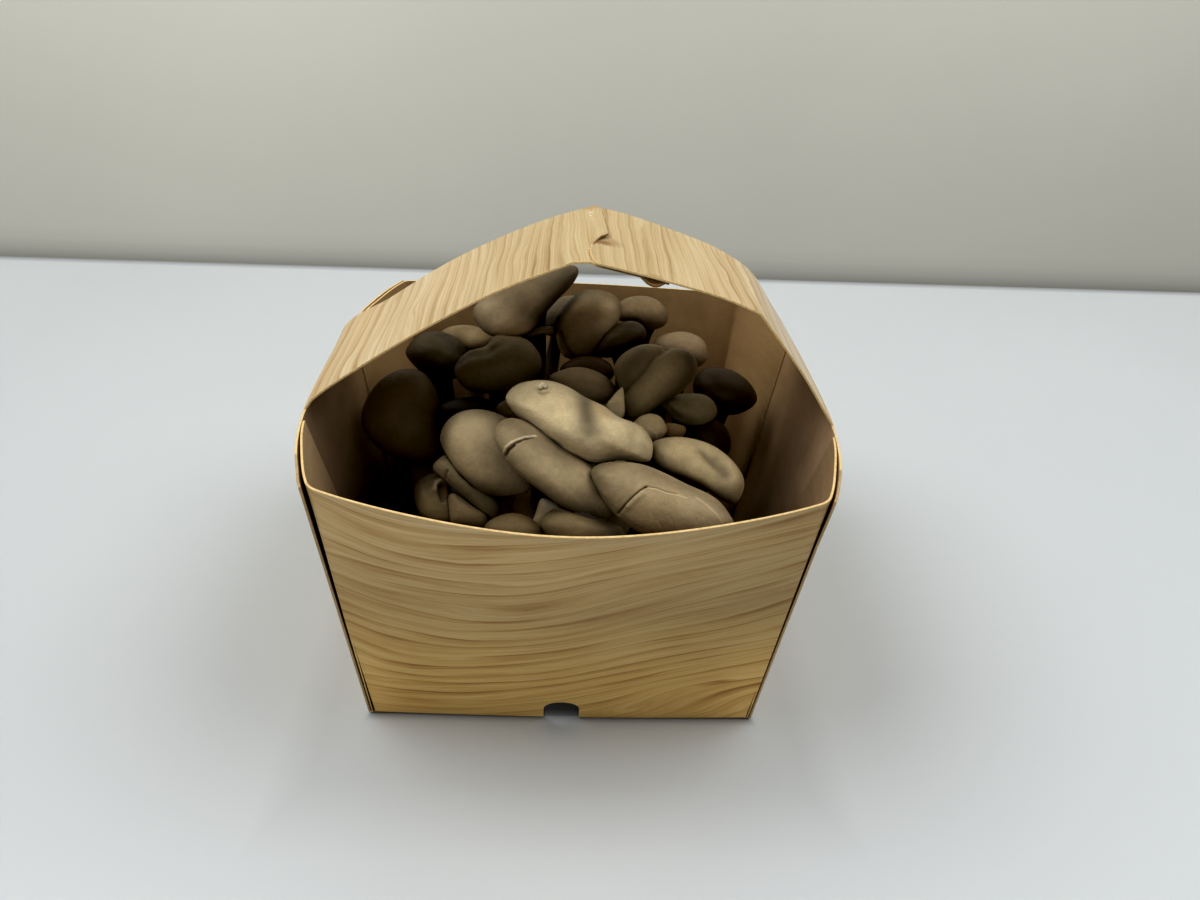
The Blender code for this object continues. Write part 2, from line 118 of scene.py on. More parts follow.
# Caps: name, centre, length, width, thickness, heading, rise, tilt, bend, cluster.
CAPS = [
    ("cap_long_top", (1.6, -43.6, 108.0), 53.0, 26.0, 15.5, -11, -13, 12, -0.10, "front"),
    ("cap_long_slit", (-6.4, -58.0, 96.5), 49.5, 24.0, 13.5, -24, -31, 25, 0.04, "front"),
    ("cap_cracked", (29.8, -66.4, 92.5), 50.0, 26.0, 14.5, -12, -15, 25, 0.05, "front"),
    ("cap_right_bruised", (44.5, -47.4, 92.0), 35.5, 21.5, 12.0, -16, -20, 20, 0.05, "front"),
    ("cap_left_round", (-31.4, -39.6, 91.0), 35.5, 27.0, 13.5, -30, -37, 40, 0.0, "front"),
    ("cap_curled", (-34.5, -46.0, 79.0), 30.0, 13.0, 9.0, -28, -35, 20, 0.12, "front"),
    ("cap_front_middle", (4.3, -79.5, 89.0), 30.0, 18.0, 12.5, -5, -4, 20, 0.0, "front"),
    ("cap_front_left", (-18.0, -81.0, 88.5), 20.0, 16.0, 11.0, -5, -4, 20, 0.0, "front"),
    ("cap_low_left", (-50.5, -46.0, 75.0), 20.0, 17.0, 10.0, -12, -14, 20, 0.0, "front"),
    ("cap_tall_back", (-22.0, 43.0, 114.0), 48.0, 25.0, 12.0, 23, 36, 30, 0.0, "back_left"),
    ("cap_back_double", (-30.0, 15.0, 99.5), 36.5, 26.0, 15.5, 2, 8, 25, 0.06, "back_left"),
    ("cap_back_corner", (-56.0, 36.0, 94.0), 31.0, 24.5, 15.0, -8, -7, 15, 0.0, "back_left"),
    ("cap_left_large", (-67.0, 5.5, 79.5), 43.0, 32.0, 18.0, -43, -47, 35, 0.0, "back_left"),
    ("cap_left_low", (-42.0, 0.0, 84.5), 24.5, 20.0, 12.0, 5, 13, 15, 0.0, "back_left"),
    ("cap_back_round", (6.6, 43.0, 107.0), 29.5, 27.0, 15.5, -53, -52, 35, 0.0, "back_right"),
    ("cap_back_lobe", (22.0, 35.5, 103.5), 22.0, 15.5, 10.5, 7, 15, 15, 0.0, "back_right"),
    ("cap_back_small", (33.0, 68.5, 102.0), 24.5, 20.5, 13.0, -7, -6, 10, 0.0, "back_right"),
    ("cap_kidney", (35.5, 6.0, 99.5), 39.5, 23.0, 13.5, 25, 38, 30, 0.10, "back_right"),
    ("cap_back_pale", (50.0, 53.5, 92.5), 26.5, 21.0, 13.0, -9, -10, 10, 0.0, "back_right"),
    ("cap_right_black", (65.5, 25.5, 86.5), 29.0, 24.0, 15.0, -10, -11, 15, 0.0, "back_right"),
    ("cap_right_low", (48.0, 4.0, 87.0), 24.0, 17.5, 11.0, -2, 1, 15, 0.0, "back_right"),
    ("cap_centre_low", (5.5, 10.5, 93.0), 29.0, 21.0, 13.5, -4, -1, 10, 0.0, "back_right"),
    ("cap_right_hidden", (57.0, 0.0, 75.5), 21.0, 17.5, 11.5, -18, -23, 10, 0.0, "back_right"),
]
FEET = {
    "front": (-2.0, -44.0, 37.0, 26.0, 46.0),
    "back_left": (-37.0, 20.0, 28.0, 33.0, 50.0),
    "back_right": (28.0, 27.0, 34.0, 35.0, 50.0),
}
FOOT_BOTTOM = 1.2

# What each cap's edge looks like from the photograph's camera, in its pixels. Hidden stretches are
# guessed.
OUTLINES = {
    "cap_long_top": ((505.5, 397), (518, 384), (543, 380), (567, 386), (600, 403), (619, 417), (640, 425),
                     (652, 441), (652, 456), (646, 462.5), (620, 460), (596, 463), (573, 455.5),
                     (555, 445.5), (540, 435.5), (526, 424), (512, 410)),
    "cap_long_slit": ((494, 436), (500, 422), (514, 418), (535, 426), (565, 447), (588, 463), (603, 480),
                      (617, 508), (611, 518), (588, 517), (563, 507), (543, 493), (517, 473), (501, 452)),
    "cap_cracked": ((591, 475), (597, 465), (614, 461.5), (633, 462.5), (648, 466), (666, 473.5),
                    (687, 484), (706, 492.5), (719, 501), (728, 512), (733, 525), (712, 536), (680, 538),
                    (650, 536), (625, 524), (604, 502)),
    "cap_right_bruised": ((650, 455), (652, 443), (667, 437.5), (686, 437.5), (710, 444), (729.5, 457.5),
                          (742.5, 475), (743.5, 490), (735, 504), (723, 501), (711, 493), (697, 484),
                          (680, 477.5), (665, 472), (655, 465)),
    "cap_left_round": ((440, 438), (447, 421), (463, 411), (485, 410), (508, 419), (526, 440), (537, 472),
                       (531, 490), (503, 496), (481, 493), (461, 476), (446, 454)),
    "cap_curled": ((433, 466), (437.5, 460), (445, 455), (450, 460), (458, 470), (468, 480), (480, 489),
                   (494, 497), (501, 508), (497, 519), (489, 518), (480, 511.5), (470, 504), (460, 495.5),
                   (450, 486.5), (441, 478), (434.5, 472)),
    "cap_front_middle": ((541, 528), (546, 514), (556, 508.5), (571, 512), (588, 518), (606, 521.5),
                         (621, 528), (624, 540), (612, 548), (590, 552), (560, 549)),
    "cap_front_left": ((484, 529), (492, 519), (511, 513), (529, 517), (541, 529), (536, 543), (513, 548),
                       (492, 542)),
    "cap_low_left": ((414, 497), (417, 483), (428, 475), (440, 473), (450, 481), (452, 500), (453, 522),
                     (434, 524), (420, 514)),
    "cap_tall_back": ((473, 314), (478, 303), (498, 290), (524, 278), (552, 269), (572, 265), (579, 271),
                      (573, 284), (556, 302), (541, 319), (528, 333), (508, 338), (490, 335), (479, 326)),
    "cap_back_double": ((454, 372), (459, 359), (470, 351), (485, 346), (495, 336), (508, 336),
                        (526, 339), (538, 351), (542, 366), (533, 381), (515, 391), (492, 394),
                        (466, 389)),
    "cap_back_corner": ((406, 355), (410, 343), (421, 334), (436, 331), (452, 335), (464, 345), (468, 362),
                        (456, 378), (437, 380), (420, 371)),
    "cap_left_large": ((361, 418), (367, 398), (382, 379), (404, 369), (424, 373), (437, 392),
                       (442, 415), (447, 440), (439, 459), (414, 463), (386, 453), (368, 437)),
    "cap_left_low": ((436, 420), (438, 408), (449, 401), (470, 397), (492, 401), (502, 414), (490, 431),
                     (462, 437), (443, 432)),
    "cap_back_round": ((555, 322), (562, 309), (571, 298.5), (583, 291), (600, 290), (615, 296),
                       (622, 308), (618, 322), (609, 338), (598, 353), (580, 361), (565, 356), (556, 339)),
    "cap_back_lobe": ((595, 352), (603, 335), (617, 324), (633, 321), (644, 327), (646, 337), (635, 349),
                      (615, 357), (600, 357)),
    "cap_back_small": ((615, 315), (619, 303), (630, 297), (646, 296), (660, 302), (668, 314), (665, 325),
                       (651, 330), (634, 324), (620, 321)),
    "cap_kidney": ((614, 373), (617, 360), (630, 349), (647, 344), (668, 347), (686, 350), (696, 360),
                   (696, 375), (680, 393), (661, 404), (643, 417), (630, 419), (624, 409), (620, 391)),
    "cap_back_pale": ((653, 347), (659, 337), (675, 332), (691, 333), (704, 341), (708, 355), (700, 366),
                      (678, 368), (659, 360)),
    "cap_right_black": ((693, 388), (697, 374), (710, 367), (731, 370), (748, 381), (757, 397), (751, 408),
                        (733, 415), (712, 411), (698, 401)),
    "cap_right_low": ((661, 402), (668, 397), (679, 394), (702, 394), (714, 402), (717, 414), (706, 425),
                      (688, 425), (676, 421), (668, 414), (663, 408)),
    "cap_centre_low": ((549, 379), (559, 371), (577, 367), (596, 371), (611, 381), (618, 394),
                       (609, 403), (585, 404), (563, 397)),
    "cap_right_hidden": ((683, 430), (690, 419), (706, 416), (724, 425), (731, 442), (725, 457),
                         (706, 459), (689, 448)),
}


def srgb(red, green, blue):
    """A linear colour from one given as 0 to 255 in sRGB."""
    values = np.array([red, green, blue]) / 255.0
    return tuple(np.where(values <= 0.04045, values / 12.92, ((values + 0.055) / 1.055) ** 2.4))


PALE_SKIN = srgb(184, 167, 132)
DARK_SKIN = srgb(110, 95, 66)
PALE_FLESH = srgb(150, 128, 94)
DARK_FLESH = srgb(112, 90, 60)
# Stems are painted darker towards their caps, where they lie in the caps' shade.
STEM_LOW = {"front": srgb(196, 176, 140), "back_left": srgb(150, 126, 88),
            "back_right": srgb(150, 126, 88)}
STEM_SHADED_TOP = srgb(40, 31, 20)
FOOT_FLESH = srgb(196, 178, 144)
# Each cap's own skin colour; caps that lie low, behind or under others are darker, partly painted shade.
SKINS = {
    "cap_long_top": srgb(202, 186, 151),
    "cap_long_slit": srgb(178, 162, 130),
    "cap_cracked": srgb(176, 159, 127),
    "cap_left_round": srgb(184, 167, 134),
    "cap_curled": srgb(152, 137, 106),
    "cap_front_middle": srgb(122, 108, 80),
    "cap_front_left": srgb(106, 92, 66),
    "cap_low_left": srgb(70, 58, 38),
    "cap_tall_back": srgb(120, 105, 80),
    "cap_back_corner": srgb(66, 56, 38),
    "cap_back_round": srgb(104, 86, 58),
    "cap_back_small": srgb(122, 104, 78),
    "cap_back_pale": srgb(134, 116, 90),
    "cap_kidney": srgb(160, 144, 110),
    "cap_right_low": srgb(158, 144, 110),
    "cap_right_black": srgb(62, 48, 32),
    "cap_left_large": srgb(104, 86, 60),
    "cap_left_low": srgb(50, 42, 28),
    "cap_right_hidden": srgb(66, 52, 36),
    "cap_back_lobe": srgb(56, 42, 22),
    "cap_centre_low": srgb(152, 133, 102),
}

# Marks on the caps: path in the photograph's pixels, width and height in mm, then colour, how much of
# it and its width in mm.
NUB = srgb(214, 202, 172)
GREY_BRUISE = srgb(92, 84, 66)
CUT_LIGHT = srgb(232, 214, 182)
# Painted shade down in cuts and cracks, and under the stub.
CUT_SHADE = srgb(44, 32, 20)
# Painted shade for the caps' edges under other caps, their creases and dents.
PAINTED_SHADE = srgb(60, 46, 30)
MARKS = {
    "cap_long_top": (
        # Painted shade beside the stub.
        (((539, 392), (543, 393.5), (547, 392)), 0.9, -0.25, PAINTED_SHADE, 0.4, 0.8),
        (((587, 396), (587, 408), (588, 419), (590, 430)), 5.0, -0.8, GREY_BRUISE, 0.72, 4.0),
        (((587.5, 404), (588.5, 420)), 2.4, -0.15, GREY_BRUISE, 0.35, 2.0),
        (((600, 404), (604, 411)), 3.0, 0.0, srgb(196, 160, 118), 0.35, 3.2),
        # Painted light along the lower edge.
        (((538, 430), (556, 441), (576, 451), (594, 458)), 3.0, 0.0, srgb(224, 208, 176), 0.55, 4.5),
        (((600, 440), (610, 430), (622, 430)), 6.0, 0.7, PALE_SKIN, 0.0, 1.0),
        (((637, 422), (634, 440), (631, 458)), 2.6, -0.5, PALE_SKIN, 0.0, 1.0),
        (((627.5, 437), (628, 455)), 0.35, 0.04, CUT_LIGHT, 0.16, 0.4),
    ),
    "cap_long_slit": (
        # Painted shade along the upper edge, under the cap above.
        (((508, 421), (522, 428), (536, 438), (552, 450), (570, 461), (584, 469)), 3.0, 0.0,
         PAINTED_SHADE, 0.5, 5.0),
        # Painted light at the right end.
        (((586, 470), (599, 488), (606, 502)), 5.0, 0.0, srgb(186, 168, 134), 0.55, 6.0),
        # Painted shade down in the slit; its pale lips are the cap's own.
        (((504.4, 457), (507.5, 450.5), (513.5, 445)), 0.62, -1.1, srgb(74, 56, 36), 0.95, 0.62),
        (((511, 446.6), (516, 443.2), (524, 439.4), (533, 437.2)), 0.28, -0.8, CUT_SHADE, 0.95, 0.28),
        (((502.8, 454), (506, 447), (512, 442.4)), 0.42, 0.2, CUT_LIGHT, 1.0, 0.42),
        (((510, 443.6), (516, 440), (524, 437.2), (536, 435.8)), 0.3, 0.12, CUT_LIGHT, 0.85, 0.3),
        # Painted shade low on the cap.
        (((596, 512), (588, 500), (600, 492)), 5.0, -0.3, PAINTED_SHADE, 0.4, 5.0),
    ),
    "cap_cracked": (
        # Painted shade along the upper edge, under the cap above.
        (((600, 468), (620, 466), (640, 468), (662, 476), (690, 489), (712, 501), (727, 514)), 3.0, 0.0,
         PAINTED_SHADE, 0.38, 6.0),
        # Painted shade down in the cracks; their pale lips are the cap's own.
        (((617.5, 514), (625.5, 504.5), (633, 496.7), (640.5, 490.2), (646.5, 486.6)), 0.3, -1.0,
         CUT_SHADE, 0.95, 0.26),
        (((646.5, 486.6), (656.5, 488), (667, 492), (677, 493.8)), 0.26, -0.3, CUT_SHADE, 0.5, 0.2),
        (((647, 487.6), (656.5, 489.2), (667, 493.2), (677, 495), (687, 498.5)), 0.3, 0.12,
         CUT_LIGHT, 0.5, 0.22),
        (((628, 506), (636, 498), (642.5, 492.5)), 1.1, 0.3, CUT_LIGHT, 0.25, 0.5),
        (((697, 498), (708, 506), (716, 514), (722, 523)), 0.5, 0.12, CUT_LIGHT, 0.35, 0.35),
        (((657, 521), (661, 527)), 0.4, -0.1, CUT_LIGHT, 0.3, 0.3),
        (((650, 512), (652, 520)), 0.4, -0.05, CUT_LIGHT, 0.16, 0.3),
        (((668, 515), (672, 522)), 0.4, -0.1, CUT_LIGHT, 0.2, 0.3),
        # Painted light on the lower right.
        (((690, 516), (706, 524), (716, 528)), 6.0, 0.0, CUT_LIGHT, 0.22, 6.0),
    ),
    "cap_right_bruised": (
        (((702, 452), (708, 459), (717, 466), (726, 474)), 2.8, -0.9, GREY_BRUISE, 0.5, 1.9),
        # Painted shade in the bruise's dent; the grey bruise is the cap's own.
        (((704, 452), (709, 458.5), (716, 464.5)), 1.1, -0.15, PAINTED_SHADE, 0.2, 0.9),
        (((716, 460), (724, 468), (727, 474)), 3.2, -0.4, GREY_BRUISE, 0.35, 2.6),
        (((688, 450), (698, 464)), 4.5, 1.0, PALE_SKIN, 0.0, 1.0),
        (((741, 486), (738, 497), (733, 503)), 0.9, 0.1, srgb(150, 118, 88), 0.5, 0.9),
        # Painted shade along the lower edge and at both ends.
        (((664, 471), (682, 477), (700, 485), (714, 494), (728, 501)), 3.2, 0.0, PAINTED_SHADE, 0.8, 5.0),
        (((655, 446), (656, 462)), 5.0, 0.0, PAINTED_SHADE, 0.3, 5.0),
        (((741, 472), (742, 486)), 4.0, 0.0, PAINTED_SHADE, 0.3, 4.0),
    ),
    "cap_curled": (
        # Painted shade in the groove and at the lower end.
        (((447, 471), (445, 475), (445.5, 478)), 0.5, -0.7, PAINTED_SHADE, 0.7, 0.45),
        (((474, 494), (488, 505), (496, 512)), 5.0, 0.0, PAINTED_SHADE, 0.3, 4.5),
    ),
    "cap_low_left": (
        (((435.5, 489), (437, 482.5), (442, 480), (448, 483)), 1.1, 0.9, srgb(150, 132, 104), 0.8, 1.0),
        # Painted shade deep in the hole, over its own brown.
        (((442, 487.5), (442.5, 493), (444.5, 499)), 1.25, -1.8, srgb(58, 38, 22), 1.0, 1.3),
        (((445, 489), (445.5, 493)), 0.9, -0.6, srgb(98, 60, 32), 0.9, 0.8),
        # Painted light at the bottom, painted shade on the left edge.
        (((433, 514), (440, 518)), 6.0, 0.0, srgb(164, 146, 110), 0.85, 6.5),
        (((415, 495), (420, 482)), 4.0, 0.0, PAINTED_SHADE, 0.7, 4.0),
        (((444.2, 502.4), (444.8, 502.6)), 0.45, 0.2, srgb(226, 214, 190), 0.9, 0.45),
    ),
    "cap_left_round": (
        # Painted shade along the upper, lower and left edges.
        (((440, 446), (446, 428), (458, 415), (475, 412), (495, 414)), 3.0, 0.0, PAINTED_SHADE, 0.6, 3.6),
        (((447, 462), (458, 475), (474, 486), (492, 494)), 4.0, 0.0, PAINTED_SHADE, 0.65, 3.8),
        (((447, 424), (443, 440)), 4.0, 0.0, PAINTED_SHADE, 0.3, 4.0),
        # Painted light on the top.
        (((468, 420), (486, 423)), 5.0, 0.0, srgb(212, 194, 158), 0.75, 7.0),
    ),
    "small_cap_left_lit": (
        # Painted light.
        (((474, 338), (484, 342)), 3.0, 0.0, srgb(206, 182, 140), 0.85, 4.5),
    ),
    "small_cap_white": (
        # Painted light on the top edge.
        (((547, 502), (556, 508)), 3.0, 0.2, srgb(222, 208, 178), 0.85, 2.6),
    ),
    "cap_front_middle": (
        # Painted shade along the top and at the right end, under the caps above.
        (((550, 510), (566, 511), (588, 517), (612, 524)), 2.6, 0.0, srgb(34, 26, 16), 0.9, 2.6),
        (((606, 524), (618, 534)), 5.0, 0.0, srgb(34, 26, 16), 0.85, 5.0),
    ),
    "cap_front_left": (
        # Painted shade along the top and at the right end.
        (((492, 518), (511, 513), (530, 518)), 2.5, 0.0, PAINTED_SHADE, 0.5, 2.5),
        (((536, 524), (540, 532)), 3.0, 0.0, PAINTED_SHADE, 0.5, 3.0),
    ),
    "cap_back_double": (
        # Painted shade in the crease, and a painted highlight along the ridge above it.
        (((503, 341), (493, 349), (486.5, 353.5), (479, 354.5), (467, 356), (458, 363)), 2.6, -0.7,
         PAINTED_SHADE, 0.22, 1.8),
        (((498, 341), (487, 349), (478, 350.5), (467, 352), (458, 357)), 1.3, 0.4,
         srgb(138, 120, 82), 0.25, 1.1),
    ),
    "cap_back_corner": (
        # Painted shade in the crease.
        (((446, 337), (452, 345), (461, 354)), 3.4, -0.9, PAINTED_SHADE, 0.3, 2.4),
        (((425, 342), (436, 346), (446, 356)), 4.0, 0.4, srgb(96, 82, 54), 0.25, 4.0),
    ),
    "cap_tall_back": (
        # Painted shade down the middle.
        (((523, 300), (521, 312)), 5.0, -0.3, PAINTED_SHADE, 0.2, 4.0),
        # Painted shade, greyish, at the upper right tip and down the side that turns down.
        (((575, 270), (566, 276), (552, 282)), 4.0, 0.0, srgb(92, 84, 66), 0.7, 5.0),
        (((573, 278), (562, 292), (549, 307), (540, 318)), 4.2, -0.3, PAINTED_SHADE, 0.7, 3.4),
        # Painted light on the upper left and along the low edge.
        (((500, 322), (487, 314)), 7.0, 0.6, srgb(196, 178, 146), 0.75, 6.5),
        (((505, 332), (522, 330)), 5.0, 0.3, srgb(206, 180, 140), 0.75, 4.0),
    ),
    "cap_back_round": (
        (((557, 330), (559, 344), (568, 352)), 2.0, 0.0, srgb(104, 88, 62), 0.5, 2.6),
        (((557, 336), (560, 348), (567, 359)), 1.0, 0.7, srgb(176, 144, 110), 0.85, 0.9),
        # Painted shade in under the pale gill rim.
        (((560, 334), (565, 348), (572, 357)), 1.4, -0.9, PAINTED_SHADE, 0.5, 1.2),
        # Painted highlight on the right side and painted light on the top.
        (((610, 308), (614, 318), (606, 330)), 4.0, 0.5, srgb(168, 150, 118), 0.65, 4.5),
        (((584, 296), (596, 296)), 3.0, 0.0, srgb(128, 118, 94), 0.6, 4.0),
        # Painted shade on the left.
        (((556, 318), (566, 306)), 3.0, 0.0, srgb(56, 48, 32), 0.45, 4.0),
    ),
    "cap_kidney": (
        # Painted shade in the crease and on the upper left and right, and a painted highlight along the
        # lobe.
        (((666, 347.5), (654, 355.5), (646.5, 365), (638, 375.5), (627.5, 385), (622, 392)), 1.6, -1.5,
         PAINTED_SHADE, 0.35, 1.2),
        (((640, 353), (632, 364), (628, 376)), 4.0, 0.0, PAINTED_SHADE, 0.5, 5.5),
        (((664, 372), (652, 386), (640, 402)), 5.0, 0.7, srgb(186, 168, 130), 0.65, 4.0),
        (((690, 358), (692, 370), (680, 388), (668, 400)), 3.0, 0.0, PAINTED_SHADE, 0.6, 4.0),
    ),
    "cap_right_low": (
        (((662, 404.5), (666, 411), (672, 417), (682, 422)), 0.6, 0.25, srgb(178, 152, 112), 0.6, 0.7),
        # Painted shade in the groove beside the rolled edge.
        (((666, 403), (672, 411), (680, 417)), 1.3, -0.3, PAINTED_SHADE, 0.35, 1.2),
    ),
    "cap_centre_low": (
        # Painted light.
        (((575, 384), (606, 392)), 4.0, 0.4, srgb(170, 152, 120), 0.6, 5.0),
    ),
    "small_cap_tip": (
        (((622.4, 390), (623.4, 398), (623.6, 406), (623.4, 413)), 0.5, 0.25, CUT_LIGHT, 1.0, 0.42),
    ),
    "small_cap_fold": (
        # Painted light low down and painted shade on the top.
        (((462, 508), (472, 514)), 5.0, 0.0, srgb(152, 134, 102), 0.6, 6.0),
        (((450, 497), (458, 497)), 2.0, 0.0, PAINTED_SHADE, 0.35, 3.0),
    ),
    "small_cap_between": (
        (((648, 428.5), (653, 431), (656.5, 435), (657.5, 440)), 0.3, 0.1, CUT_LIGHT, 0.85, 0.32),
    ),
}

# Small caps past the node limit, seen by the photograph's camera: pixel, depth in mm, then length,
# width and thickness in pixels, the long side's slope in degrees, skin, cluster and outline.
# Small caps that lie under or behind others have darker skins, partly painted shade.
SMALL_CAPS = (
    ("small_cap_fold", (467, 511), 318.0, 44, 26, 22, 35, srgb(138, 122, 94), "front",
     ((448, 497), (453, 493), (461, 497), (473, 506), (487, 516), (486, 526), (470, 528), (452, 524),
      (448, 510))),
    ("small_cap_white", (547, 513), 309.0, 26, 20, 14, 60, srgb(166, 150, 118), "front",
     ((533, 526), (536, 512), (541, 499), (550, 500), (560, 506), (562, 516), (552, 531))),
    ("small_cap_between", (653, 427), 336.0, 36, 26, 20, 25, srgb(214, 194, 154), "front",
     ((632, 428), (638, 418), (650, 413.5), (661, 417), (667, 428), (664, 436), (654, 442), (640, 441))),
    ("small_cap_stub", (676, 430), 343.0, 22, 14, 12, 10, srgb(170, 144, 104), "front",
     ((663, 426), (671, 423), (684, 426), (686, 432), (680, 438), (667, 438))),
    ("small_cap_tip", (618, 404), 344.0, 32, 16, 10, -62, srgb(236, 218, 176), "front",
     ((606, 407), (612, 397), (620, 388.5), (623, 388), (624.5, 399), (624.5, 415), (615, 420))),
    ("small_cap_edge", (541, 332), 385.0, 34, 12, 10, -8, srgb(104, 88, 60), "back_left",
     ((522, 337), (530, 331), (541, 326.5), (553, 327), (558, 332), (553, 336), (541, 335), (530, 339.5))),
    ("small_cap_pale_edge", (562, 308), 398.0, 34, 26, 14, -55, srgb(108, 96, 75), "back_left",
     ((533, 331), (542, 317), (551, 305), (561, 297.5), (571, 295.5), (580, 298), (577, 312), (566, 326),
      (552, 332))),
    ("small_cap_left_lit", (465, 338), 395.0, 46, 26, 18, 12, srgb(132, 114, 84), "back_left",
     ((440, 336), (449, 327), (468, 325), (486, 330), (497, 339), (491, 347), (476, 352), (455, 350))),
    ("small_cap_under_round", (588, 370), 372.0, 52, 26, 18, 12, srgb(58, 40, 20), "back_right",
     ((560, 370), (572, 359), (590, 356), (608, 362), (614, 375), (600, 386), (575, 384))),
    ("small_cap_behind_long", (508, 408), 340.0, 30, 22, 16, 20, srgb(124, 104, 74), "back_left",
     ((496, 410), (501, 402), (512, 400), (524, 410), (520, 420), (504, 420))),
    ("small_cap_brown", (526, 506), 330.0, 34, 24, 18, 70, srgb(150, 122, 84), "front",
     ((511, 508), (516, 496), (532, 492), (541, 503), (540, 520), (520, 523))),
)


def lerp(start, end, share):
    return start + (end - start) * share


def smooth(share):
    share = np.clip(share, 0.0, 1.0)
    return share * share * (3.0 - 2.0 * share)


def steps(start, end, count):
    return [lerp(start, end, index / count) for index in range(count + 1)]


def full_turn(segments):
    return [2 * math.pi * segment / segments for segment in range(segments)]


TINY = 1e-12


def unit(vectors, tiny=0.0):
    """Vectors of length one; tiny keeps an empty one from dividing by zero."""
    return vectors / (np.linalg.norm(vectors, axis=-1, keepdims=True) + tiny)


# Node materials.

def make_material(name):
    material = bpy.data.materials.new(name)
    material.use_nodes = True
    tree = material.node_tree
    return material, tree, tree.nodes["Principled BSDF"]


def add_node(tree, kind, inputs=None, **settings):
    """A node with its settings; inputs maps a socket to a value or to a node's output."""
    made = tree.nodes.new(kind)
    for key, value in settings.items():
        setattr(made, key, value)
    for key, value in (inputs or {}).items():
        if isinstance(value, bpy.types.NodeSocket):
            tree.links.new(value, made.inputs[key])
        else:
            made.inputs[key].default_value = value
    return made


def math_node(tree, operation, first, second=0.0, third=0.0):
    inputs = {0: first, 1: second, 2: third}
    return add_node(tree, "ShaderNodeMath", inputs, operation=operation).outputs[0]


def times(tree, first, second):
    return math_node(tree, "MULTIPLY", first, second)


def scaled(tree, value, scale, offset):
    return math_node(tree, "MULTIPLY_ADD", value, scale, offset)


def fade(tree, value, start, end, low=0.0, high=1.0):
    """Goes from low to high while the value goes from start to end."""
    inputs = {0: value, 1: start, 2: end, 3: low, 4: high}
    return add_node(tree, "ShaderNodeMapRange", inputs).outputs[0]


def axes_of(tree, vector):
    return add_node(tree, "ShaderNodeSeparateXYZ", {0: vector}).outputs


def object_place(tree):
    return add_node(tree, "ShaderNodeTexCoord").outputs["Object"]


def noise_node(tree, vector, scale, detail=2.0, roughness=0.5):
    inputs = {"Vector": vector, "Scale": scale, "Detail": detail, "Roughness": roughness}
    return add_node(tree, "ShaderNodeTexNoise", inputs).outputs[0]


def combine(tree, x, y, z=0.0):
    return add_node(tree, "ShaderNodeCombineXYZ", {0: x, 1: y, 2: z}).outputs[0]


def grey(tree, value):
    return combine(tree, value, value, value)


def ramp_node(tree, factor, stops):
    made = add_node(tree, "ShaderNodeValToRGB", {0: factor})
    elements = made.color_ramp.elements
    while len(elements) < len(stops):
        elements.new(0.5)
    for element, (place, colour) in zip(elements, stops):
        element.position = place
        element.color = (*colour, 1.0)
    return made.outputs[0]


def mix_colour(tree, factor, first, second, blend="MIX"):
    inputs = {0: factor, 6: first, 7: second}
    return add_node(tree, "ShaderNodeMix", inputs, data_type="RGBA", blend_type=blend).outputs[2]


def grey_ramp(tree, factor, stops):
    return ramp_node(tree, factor, [(place, (tone, tone, tone)) for place, tone in stops])


def tint(tree, colour, factor, share=1.0):
    """Multiplies a colour by three numbers, or by a node's colour."""
    if isinstance(factor, tuple):
        factor = (*factor, 1.0)
    return mix_colour(tree, share, colour, factor, "MULTIPLY")


def add_bump(tree, shader, height, strength, distance):
    inputs = {"Height": height, "Strength": strength, "Distance": distance}
    bump = add_node(tree, "ShaderNodeBump", inputs)
    tree.links.new(bump.outputs[0], shader.inputs["Normal"])


# Spots at the lock: pale rubbed wear, painted shade under the lifted hook, in the dip beside it and on the
# tongue, and a brown spot at the back of the apex; place and reach in metres, colour and share.
WEAR_AND_SHADE_SPOTS = (
    ((0.0050, 0.0240, 0.1625), 0.0042, srgb(176, 132, 78), 0.55),
    ((0.0046, 0.0165, 0.1630), 0.0013, srgb(236, 224, 196), 0.8),
    ((0.0046, 0.0130, 0.1630), 0.0011, srgb(236, 224, 196), 0.7),
    ((0.0040, -0.0250, 0.1630), 0.0011, srgb(236, 224, 196), 0.6),
    ((0.0088, -0.0166, 0.1618), 0.0034, srgb(138, 104, 68), 0.95),
    ((0.0112, -0.0148, 0.1615), 0.0052, srgb(156, 128, 88), 0.5),
    ((0.0240, -0.0395, 0.1555), 0.0050, srgb(136, 98, 62), 0.85),
)
# The printed grain: waves as scale along and across, detail and size, then the two sets of lines.
GRAIN_WAVES = ((1.1, 2.6, 1.0, 0.16), (0.7, 11.0, 1.0, 0.085), (5.0, 14.0, 2.0, 0.012))
ARM_WAVE_SCALE = 38.0
ARM_WAVE_SIZE = 0.034
RING_COUNT = 17.0
RING_POWER = 2.6
RING_FALL = 11.0
RING_CONTRAST = (2.6, -0.75)
RING_LEAST = 0.05
VEIN_COUNT = 61.0
VEIN_POWER = 1.8
RING_BOLDNESS = ((0.0, 0.75), (0.14, 1.25), (0.36, 1.4), (0.58, 1.1), (0.8, 0.95), (1.0, 0.9))
# Noise of the grain: scale along, scale across and detail.
RING_NOISE = (2.4, 3.7, 1.0)
VEIN_NOISE = (3.4, 2.3, 1.0)
STREAK_NOISE = (2.2, 62.0, 3.0)
FINE_NOISE = (3.4, 150.0, 2.0)
FIBRE_NOISE = (24.0, 420.0, 2.0)
CLOUD_NOISE = (1.6, 5.0, 2.0)
